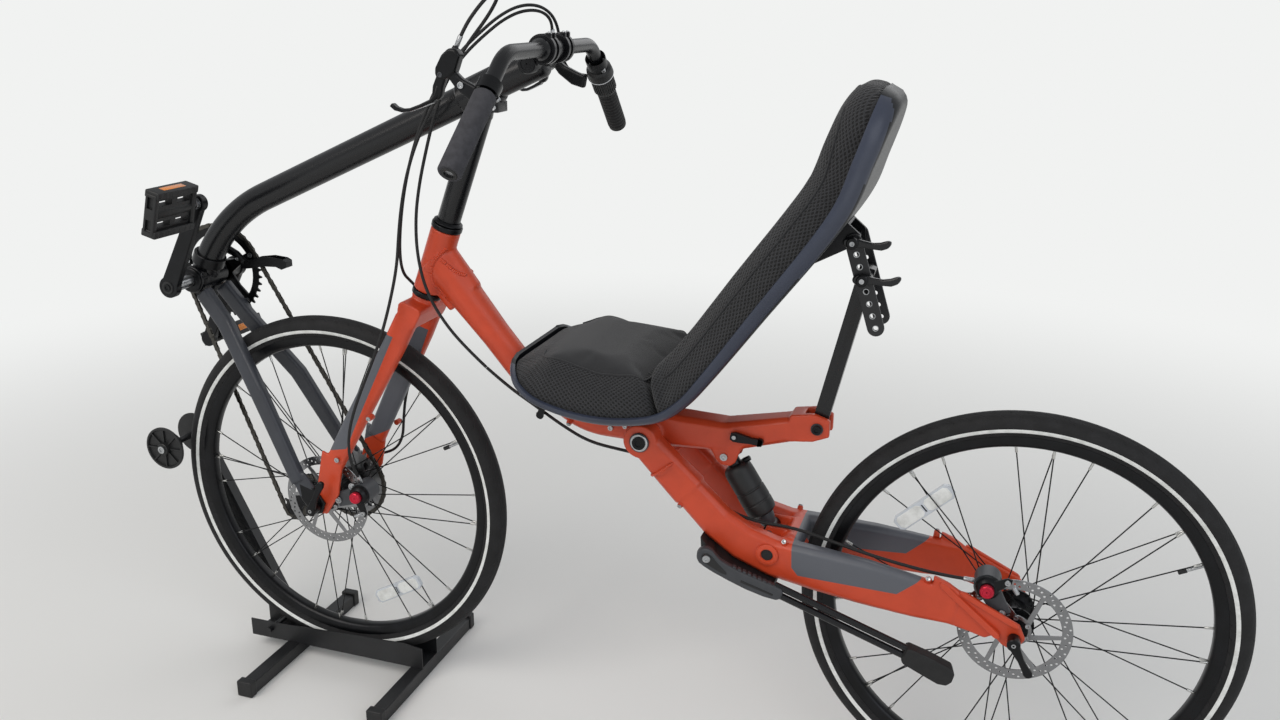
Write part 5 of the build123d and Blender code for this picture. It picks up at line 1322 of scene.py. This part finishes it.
def seatPoint(run, y, lift):  # a spot so far along the curve, aside from it and above it
    run = max(run, 0.0)
    i = max(k for k in range(len(seatLine) - 1) if seatLine[k][2] <= run or k == 0)
    (ax, az, ar), (bx, bz, br) = seatLine[i], seatLine[i + 1]
    f = (run - ar) / (br - ar)
    (ux, uz), _ = between(seatLine[max(i - 1, 0)], seatLine[min(i + 2, len(seatLine) - 1)])
    return at(ax + (bx - ax) * f - uz * lift, az + (bz - az) * f + ux * lift, y)


def runAt(x, z):  # how far along the curve a side-view point lies, and how far off it
    near = min(range(len(seatLine)), key=lambda k: (seatLine[k][0] - x) ** 2 + (seatLine[k][1] - z) ** 2)
    best = (0.0, 1e9)
    for k in (max(near - 1, 0), min(near, len(seatLine) - 2)):
        start = seatLine[k]
        way, length = between(start, seatLine[k + 1])
        run = limited((x - start[0]) * way[0] + (z - start[1]) * way[1], 0.0, length)
        spot = along(start, way, run)
        gap = sqrt((x - spot[0]) ** 2 + (z - spot[1]) ** 2)
        if gap < best[1]:
            best = (start[2] + run, gap)
    return best


def halfWidth(run):  # narrow at the front, full at the hips, narrower at the shoulders
    spot = seatPoint(run, 0, 0)
    x, z = spot.x * 1000 + middleX, spot.z * 1000
    (nose, noseLong), (shoulder, shoulderHigh) = seat["nose"], seat["shoulder"]
    front, top = limited((x - nose) / noseLong), limited((z - shoulder) / shoulderHigh)
    wide = seat["frontHalf"] + (seat["half"] - seat["frontHalf"]) * sin(front * pi / 2)
    return wide - (seat["half"] - seat["topHalf"]) * (top * top * (3 - 2 * top)) if z > seat["backFrom"] else wide


# A patch of the seat: its first and last run, how far it stays inside the edge, and the radii of its ends
shellPatch = (0.0, seatLong, 0.0, seat["corner"])


def outline(run, first, last, inset, radii):  # half the patch's width at one run, less where its ends are rounded
    wide = halfWidth(run) - inset
    for near, radius in ((run - first, radii[0]), (last - run, radii[1])):
        if near < radius:
            wide -= radius - sqrt(max(0.0, radius**2 - (radius - max(near, 0.0)) ** 2))
    return wide


def edgeDistance(run, y, first, last, inset, radii):
    beside = halfWidth(run) - inset - abs(y)
    gap = beside
    for near, radius in ((run - first, radii[0]), (last - run, radii[1])):
        if near < radius and beside < radius:
            gap = min(gap, radius - sqrt((radius - near) ** 2 + (radius - beside) ** 2))
        gap = min(gap, near)
    return max(gap, 0.0)


def seatSheet(name, patch, grid, rise, material):  # a grid of rows and columns laid along the seat's curve
    (rows, columns), (even, eased) = grid, seat["rowEase"]
    startPiece()
    bpy.ops.mesh.primitive_grid_add(x_subdivisions=columns, y_subdivisions=rows, size=2)
    piece = named(name, material)
    for vertex in piece.data.vertices:
        u, v = vertex.co.x, vertex.co.y
        share = 0.5 + 0.5 * (even * v + eased * sin(v * pi / 2))
        run = patch[0] + (patch[1] - patch[0]) * share
        y = (1 if u > 0 else -1) * (1 - (1 - abs(u)) ** seat["columnEase"]) * outline(run, *patch)
        vertex.co = seatPoint(run, y, rise(run, edgeDistance(run, y, *patch), y))
    return piece


def shellRise(run, gap, y=0.0):
    first, long = seat["lipRun"]
    lip = seat["lipLow"] + (seat["lipHigh"] - seat["lipLow"]) * limited((run - first) / long)
    bend = min(1.0, gap / seat["fillet"])
    return seat["lift"] + lip * (1 - sqrt(max(0.0, 1 - (1 - bend) ** 2)))


sheet = seatSheet("seatShell", shellPatch, seat["shellGrid"], shellRise, "compositeShell")
bpy.ops.object.mode_set(mode="EDIT")
finishMesh(sheet, "compositeShell", 60)
if sum(face.normal.dot(Vector((-0.6, 0, 0.8))) for face in sheet.data.polygons) < 0:
    sheet.data.flip_normals()
sheet.data.materials.append(materials["shellEdge"])
for face in sheet.data.polygons:  # the side walls are painted a lighter blue-grey, standing in for the light and sheen that fall on them
    face.material_index = 1 if abs(face.normal.y) > seat["sideWall"] else 0
wall = sheet.modifiers.new("wall", "SOLIDIFY")
wall.thickness, wall.offset, wall.use_even_offset = seat["skin"] / 1000, -1, True
applyAll(sheet)
addBevel(sheet, 1.9, 3, 50, 50)
place(sheet, "frame", ["seat_shell"])


def coverMap(piece, top):  # length along the shell and width round the pad's sides, so that the knit follows it
    weave = piece.data.attributes.new("weave", "FLOAT_VECTOR", "POINT")
    for i, vertex in enumerate(piece.data.vertices):
        x, y, z = vertex.co * 1000
        run, high = runAt(x + middleX, z)
        spare = max(0.0, top(run) - high)
        weave.data[i].vector = (run / 1000, (y + (spare if y > 0 else -spare)) / 1000, 0)


def inflate(piece, held):  # cloth under pressure, kept from swelling further than the cap
    before = [vertex.co.copy() for vertex in piece.data.vertices]
    cloth, scene = piece.modifiers.new("cloth", "CLOTH"), bpy.context.scene
    settings = cloth.settings
    settings.quality, settings.mass, settings.bending_stiffness = seat["quality"], seat["mass"], seat["bending"]
    settings.tension_stiffness = settings.compression_stiffness = settings.shear_stiffness = seat["stiffness"]
    settings.use_pressure, settings.uniform_pressure_force = True, seat["pressure"]
    settings.effector_weights.gravity = 0
    settings.vertex_group_mass = held
    scene.frame_start, scene.frame_end = 1, seat["steps"]
    cloth.point_cache.frame_start, cloth.point_cache.frame_end = 1, seat["steps"]
    for step in range(1, seat["steps"] + 1):
        scene.frame_set(step)
    applyAll(piece)
    for vertex, old in zip(piece.data.vertices, before):
        moved = vertex.co - old
        if moved.length > seat["cap"] / 1000:
            vertex.co = old + moved.normalized() * seat["cap"] / 1000
    scene.frame_set(1)


def cushion(name, node, patch, thick, edge, power):
    def lowRise(run, gap, y):  # the underside rests on the shell and on its raised edge
        return shellRise(run, edgeDistance(run, y, *shellPatch)) + seat["clear"]

    def topRise(run, gap, y):
        low, share = lowRise(run, gap, y), 1 - min(1.0, gap / edge)
        return low + (seat["padGap"] + thick(run) - low) * max(0.0, 1 - share**power) ** (1 / power)

    piece = joined(name, [seatSheet(name, patch, seat["padGrid"], topRise, "spacerMesh"),
                          seatSheet("under", patch, seat["padGrid"], lowRise, "spacerMesh")])
    bpy.ops.object.mode_set(mode="EDIT")
    bpy.ops.mesh.select_all(action="SELECT")
    bpy.ops.mesh.remove_doubles(threshold=0.0002)
    bpy.ops.mesh.select_all(action="DESELECT")
    bpy.ops.mesh.select_non_manifold()
    bpy.ops.mesh.edge_face_add()
    finishMesh(piece, "spacerMesh")
    skin = piece.modifiers.new("skin", "REMESH")
    skin.mode, skin.voxel_size = "VOXEL", seat["voxel"] / 1000
    applyAll(piece)
    held = piece.vertex_groups.new(name="held")  # the underside stays on the shell
    for vertex in piece.data.vertices:
        x, y, z = vertex.co * 1000
        if runAt(x + middleX, z)[1] < seat["padGap"] + 5:
            held.add([vertex.index], 1.0, "REPLACE")
    inflate(piece, "held")
    even = piece.modifiers.new("even", "SMOOTH")
    even.factor, even.iterations = 0.5, 4
    finer = piece.modifiers.new("finer", "SUBSURF")
    finer.levels = finer.render_levels = 1
    applyAll(piece)
    bpy.ops.object.shade_smooth()
    coverMap(piece, lambda run: thick(run) + seat["padGap"])
    place(piece, "frame", [node])
    return piece


def eased(rows):  # thickness between given places along the shell
    def thick(run):
        for (a, ta), (b, tb) in zip(rows, rows[1:]):
            if run <= b:
                return ta + (tb - ta) * limited((run - a) / (b - a))
        return rows[-1][1]
    return thick


splitRun = runAt(*seat["split"])[0]
baseThick = eased(((0, 22), (15, 40), (40, 60), (70, 74), (105, 79), (145, 80), (200, 78), (240, 72), (splitRun, 65)))
backThick = eased(((splitRun, 62), (splitRun + 50, 57), (splitRun + 130, 57), (seatLong - 200, 62), (seatLong, 61)))
basePatch = (4, splitRun - 1.5, 2.5, (40, 10))
backPatch = (splitRun + 1.5, seatLong + 6, 2.5, (12, 62))
base = cushion("seatBaseCushion", "seat_base_cushion", basePatch, baseThick, 34, 2.6)
back = cushion("seatBackCushion", "seat_back_cushion", backPatch, backThick, 27, 2.5)
base.data.materials.append(materials["wovenCover"])
for face in base.data.polygons:  # the sitting surface is a plain weave, the sides are the open mesh
    x, y, z = face.center * 1000
    run = runAt(x + middleX, z)[0]
    if face.normal.z > seat["flat"] and edgeDistance(run, y, 4, splitRun, *basePatch[2:]) > seat["border"]:
        face.material_index = 1


def seamOn(piece, name, patch, thick=3.0, lift=0.0004, steps=26):  # a sewn edge round the pad's upper face
    route = []
    for s in (-1, 1):
        runs = [patch[0] + (patch[1] - patch[0]) * k / steps for k in range(steps + 1)]
        for run in (runs if s < 0 else reversed(runs)):
            y = s * max(seat["seamWidth"], outline(run, *patch))
            top, low = seatPoint(run, y, seat["above"]), seatPoint(run, y, 0)
            hit, spot, normal, _ = piece.ray_cast(top, (low - top).normalized())
            if hit:
                route.append(spot + normal * lift)
    place(cable(name, route, thick, "wovenCover"), "frame")


seamOn(back, "backSeam", (splitRun + 24, seatLong - 10, 19, (16, 50)))
seamOn(base, "baseSeam", (24, splitRun - 12, 22.5, (30, 10)))
print("cushions filled")

# Seat brackets, the strut and its two hole plates with steel eyelets
strut = {"plateTop": (874.0, 864.0), "plateEnd": (913.0, 744.0), "pitch": 18.0, "holes": 8, "hole": 3, "face": 35.3,
         "inner": 31.0, "half": 12.0}
for node, name, material, bevel, segments, slot in (
        ("seat_brackets", "seatBrackets", "anodisedBlack", 1.2, 2, "alloy_black"),
        ("seat_strut", "seatStrut", "satinBlackTube", 1.4, 3, "black_satin"),
        ("seat_back_bracket", "seatBackBracket", "anodisedBlack", 1.0, 2, "alloy_black")):
    place(refined(node, name, material, bevel, segments), "frame", [node])
plateWay, _ = between(strut["plateTop"], strut["plateEnd"])
spots = [along(strut["plateTop"], plateWay, k * strut["pitch"]) for k in range(strut["holes"])]
strutTop, inner, lean = spots[strut["hole"]], strut["inner"], atan2(plateWay[1], plateWay[0])
rounded = [onCircle(end, strut["half"], lean + quarter + pi * k / 12)
           for end, quarter in ((spots[0], pi / 2), (spots[-1], -pi / 2)) for k in range(13)]
holePlate = plate("holePlate", rounded, inner, inner + 4, "powderCoatBlack", 0.9)
used = (0, strut["hole"])  # the holes that the levers' bolts pass
cutters = [across("hole", spot, inner - 5, inner + 9, 4.2 if k in used else 3.4) for k, spot in enumerate(spots)]
cut(holePlate, [joined("holes", cutters)])
eyelet = [(inner + 3.9, 3.4), (inner + 3.9, 4.6), (inner + 4.5, 4.3), (inner + 4.5, 3.5)]
eyelets = [turned("eyelet", eyelet, spot, "zincSteel", 20) for k, spot in enumerate(spots) if k not in used]
holePlate = joined("holePlateOne", [holePlate] + eyelets)
placeAll("strutPlates", [holePlate, copied(holePlate, Matrix.Scale(-1, 4, (0, 1, 0)))], "frame",
         ["strut_plates"])

# Levers of the hole plates and of the seat's clamps
paddle = ((-13, -3), (-14, 2), (-11, 6.5), (-3, 8), (6, 5.5), (16, 2.4), (28, 2.2), (38, 4.4), (47, 6.8), (52, 5.4),
          (53, 1), (49, -4), (40, -6.4), (28, -6.6), (14, -7), (2, -8), (-8, -6.5))
face, levers = strut["face"], []
cam = [(-face - 0.4, 4), (-face - 0.4, 8.4), (-face - 12.6, 8.4), (-face - 13.6, 7), (-face - 13.6, 1), (-face - 1, 1)]
for spot, lift in ((strut["plateTop"], 1.0), (strutTop, 4.0)):
    shape = [(spot[0] + x, spot[1] + z + lift * max(0, x) / 50) for x, z in paddle]
    grip = plate("paddle", shape, -face - 11, -face - 3, "satinBlackTube", 3.2)
    for vertex in grip.data.vertices:  # dished, and bent away from the plate
        reach = max(0.0, (vertex.co.x - at(*spot).x)) * 1000
        vertex.co.y += 0.0012 * sin(min(1.0, reach / 30) * pi)
        vertex.co.z += 0.0016 * sin(reach / 52 * 2 * pi)
    levers += [grip, turned("cam", cam, spot, "anodisedBlack", 32),
               sideBolt("camEnd", spot, -face - 13.4, -1, 3.6, 1.2),
               across("thread", spot, face - 6, face + 9, 3.0, sides=16, bevel=0.5),
               across("nut", spot, face + 0.6, face + 6, 7.4, sides=6, bevel=0.6),
               across("axle", spot, -face, face, 3.8, sides=16)]
levers.append(across("tailBolt", main["tail"], -26, 26, 3.8, sides=16))
for s in (-1, 1):
    levers += [turned("washer", [(22.5, 3.8), (22.5, 9.2), (24, 9.2), (24, 3.8)], main["tail"], "castGrey", 28, side=s),
               sideBolt("tailHead", main["tail"], s * 24, s, 7.2, 5.0, "anodisedBlack")]
placeAll("seatLeverSet", levers, "frame", ["quick_levers"])
extra, clampLevers = [], (((413, 584), -30, -112, 46), ((716, 553), -27, -8, 44))
for point, y, angle, length in clampLevers:  # under and behind the seat
    extra += [quickRelease(point, angle, length, y),
              across("leverPin", point, y + 12, y - 8, 5.0, "anodisedBlack", 20, 0.8),
              sideBolt("leverHead", point, y - 7.6, -1, 3.2, 1.2)]
placeAll("clampLevers", extra, "frame")
print("seat built")

# Kickstand: a moulded housing with a slot, twin legs and a rubber foot. Its outlines are (run, up) along the leg.
kick = {"fold": 17.7, "foldIn": -0.03, "legs": (110, 330, 5.2, 6.4), "teeth": 9, "toothPitch": 8.2, "toothLean": 0.14,
        "housing": ((-16, 0), (-15, 7), (-10, 13), (-3, 15.8), (5, 15), (12, 11), (20, 7), (32, 5), (52, 4), (80, 5),
                    (108, 7), (120, 7.5), (125, 4), (125, -9), (119, -14), (100, -18), (72, -20), (44, -19.5),
                    (18, -18), (2, -16), (-8, -13.5), (-14, -8)),
        "drop": ((-9, 0), (-7.5, 6), (-1, 9), (7, 7), (18, 1), (36, -7), (38, -11), (30, -12.5), (12, -10.5),
                 (-4, -8.5)),
        "rib": ((60, -12), (112, -9), (112, -6), (60, -8)),
        "foot": ((316, -12), (320, -15), (345, -17.5), (374, -20), (386, -16), (391, -7), (390, 6), (384, 13),
                 (350, 14.5), (320, 13.5), (316, 10))}
hinge = next(joint for joint in frame["record"]["behaviour"]["joints"] if joint["name"] == "kickstand_swing")
kickAt, kickAxis = Vector(hinge["pos_m"]), Vector(hinge["axis"])
fold = radians(kick["fold"])
legWay = Vector((cos(fold), kick["foldIn"], -sin(fold))).normalized()
legUp = legWay.cross(kickAxis)
inHand = Matrix.Translation(kickAt) @ Matrix((legWay, kickAxis, legUp)).transposed().to_4x4()


def onLeg(shape, low, high, material, bevel):  # a plate drawn along the leg, aside from low to high
    piece = plate("legPlate", [(middleX + run, up) for run, up in shape], low, high, material, bevel)
    piece.data.transform(inHand)
    return piece


parts = [onLeg(kick["housing"], -21.4, -9, "castGrey", 3.4), onLeg(kick["drop"], -22.4, -19, "mouldedBlack", 1.6),
         onLeg(kick["rib"], -22.4, -20, "mouldedBlack", 0.9), onLeg(kick["foot"], -25.5, -4, "softRubber", 6)]
for k in range(kick["teeth"]):  # teeth along the upper edge
    run, up = 42 + k * kick["toothPitch"], 6.4 + k * kick["toothLean"]
    parts.append(onLeg(((run, 2), (run, up), (run + 5, up), (run + 5, 2)), -19.5, -11, "castGrey", 0.8))
first, last, legRadius, shift = kick["legs"]
for aside in (-shift, shift):
    low = kickAt + kickAxis * -0.014 + legUp * aside / 1000
    parts.append(rod("leg", low + legWay * first / 1000, low + legWay * last / 1000, legRadius, "satinBlackTube", 28))
parts += [socketBolt("hingeBolt", kickAt + kickAxis * -0.0220, -kickAxis, 6.0, 3.0),
          lathe("barrel", kickAt + kickAxis * -0.009, kickAxis, [(-2, 1), (-2, 13.5), (0.8, 13.5), (0.8, 1)],
                "anodisedBlack", 40)]
placeAll("kickstandParts", parts, "kickstand", ["kickstand"])
bracket = refined("kickstand_bracket", "kickstandBracket", "mouldedBlack", 1.2, 2)
corner = kickAt.x - 0.004
for vertex in bracket.data.vertices:  # its front corner is rounded in towards the hinge
    if vertex.co.x < corner:
        vertex.co.x = corner + (vertex.co.x - corner) * 0.45
place(bracket, "frame", ["kickstand_bracket"])

# Wheel stand on the floor: folded tray, cross bars, arm and its two ribbed discs
for node, name, material, bevel in (("stand_bars", "standBars", "powderCoatBlack", 1.8),
                                    ("stand_caps", "standCaps", "mouldedBlack", 2.2),
                                    ("stand_tray", "standTray", "powderCoatBlack", 0.9),
                                    ("stand_arm", "standArm", "powderCoatBlack", 1.6)):
    place(refined(node, name, material, bevel, 3), "front_end", [node])
low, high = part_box("stand_discs")
hubAt, outer = ((low[0] + high[0]) * 500 + middleX, (low[2] + high[2]) * 500), low[1] * 1000
rim = [(outer + 0.5, 34), (outer + 0.5, 39.4), (outer - 2.6, 39.4), (outer - 3.4, 38), (outer - 3.4, 35.5)]
boss = [(outer + 0.5, 1), (outer + 0.5, 12), (outer - 8, 11), (outer - 9, 9.8), (outer - 9, 1)]
bits = [refined("stand_discs", "standDiscs", "mouldedBlack", 1.6, 3), turned("rim", rim, hubAt, "mouldedBlack", 64)]
for k in range(8):
    spoke = ribbon(hubAt, (cos(2 * pi * k / 8), sin(2 * pi * k / 8)), ((10, 1.6), (35.5, 1.3)))
    bits.append(plate("rib", spoke, outer - 3.0, outer + 0.5, "mouldedBlack", 0.5))
bits += [turned("boss", boss, hubAt, "mouldedBlack", 40), sideBolt("discBolt", hubAt, outer - 8.8, -1, 7.0, 3.2)]
placeAll("standDiscSet", bits, "front_end", ["stand_discs"])
print("kickstand and wheel stand built")

# Any CAD piece that keeps its shape gets a finish by its slot
keptFinish = {"frame_orange": "powderCoatOrange", "black_satin": "satinBlackTube", "stay_grey": "satinPaintGrey",
              "stand_black": "powderCoatBlack", "black_plastic": "mouldedBlack", "foam": "foamGrip",
              "rubber_black": "softRubber", "tyre_black": "tyreRubber", "steel": "zincSteel", "chrome": "chromePlate",
              "alloy_black": "anodisedBlack", "shell": "compositeShell", "mesh_fabric": "spacerMesh",
              "smooth_fabric": "wovenCover", "lens": "clearPrismAcrylic"}
slotOf = {part["node"]: part["material_slot"] for part in frame["record"]["subparts"]}
for name, node in nodes.items():
    if len(node.data.materials) == 0:
        node.data.materials.append(materials[keptFinish[slotOf[name]]])
    for slot in node.material_slots:
        slot.material = materials[keptFinish[slotOf[name]]]
bpy.context.view_layer.update()
print("done")
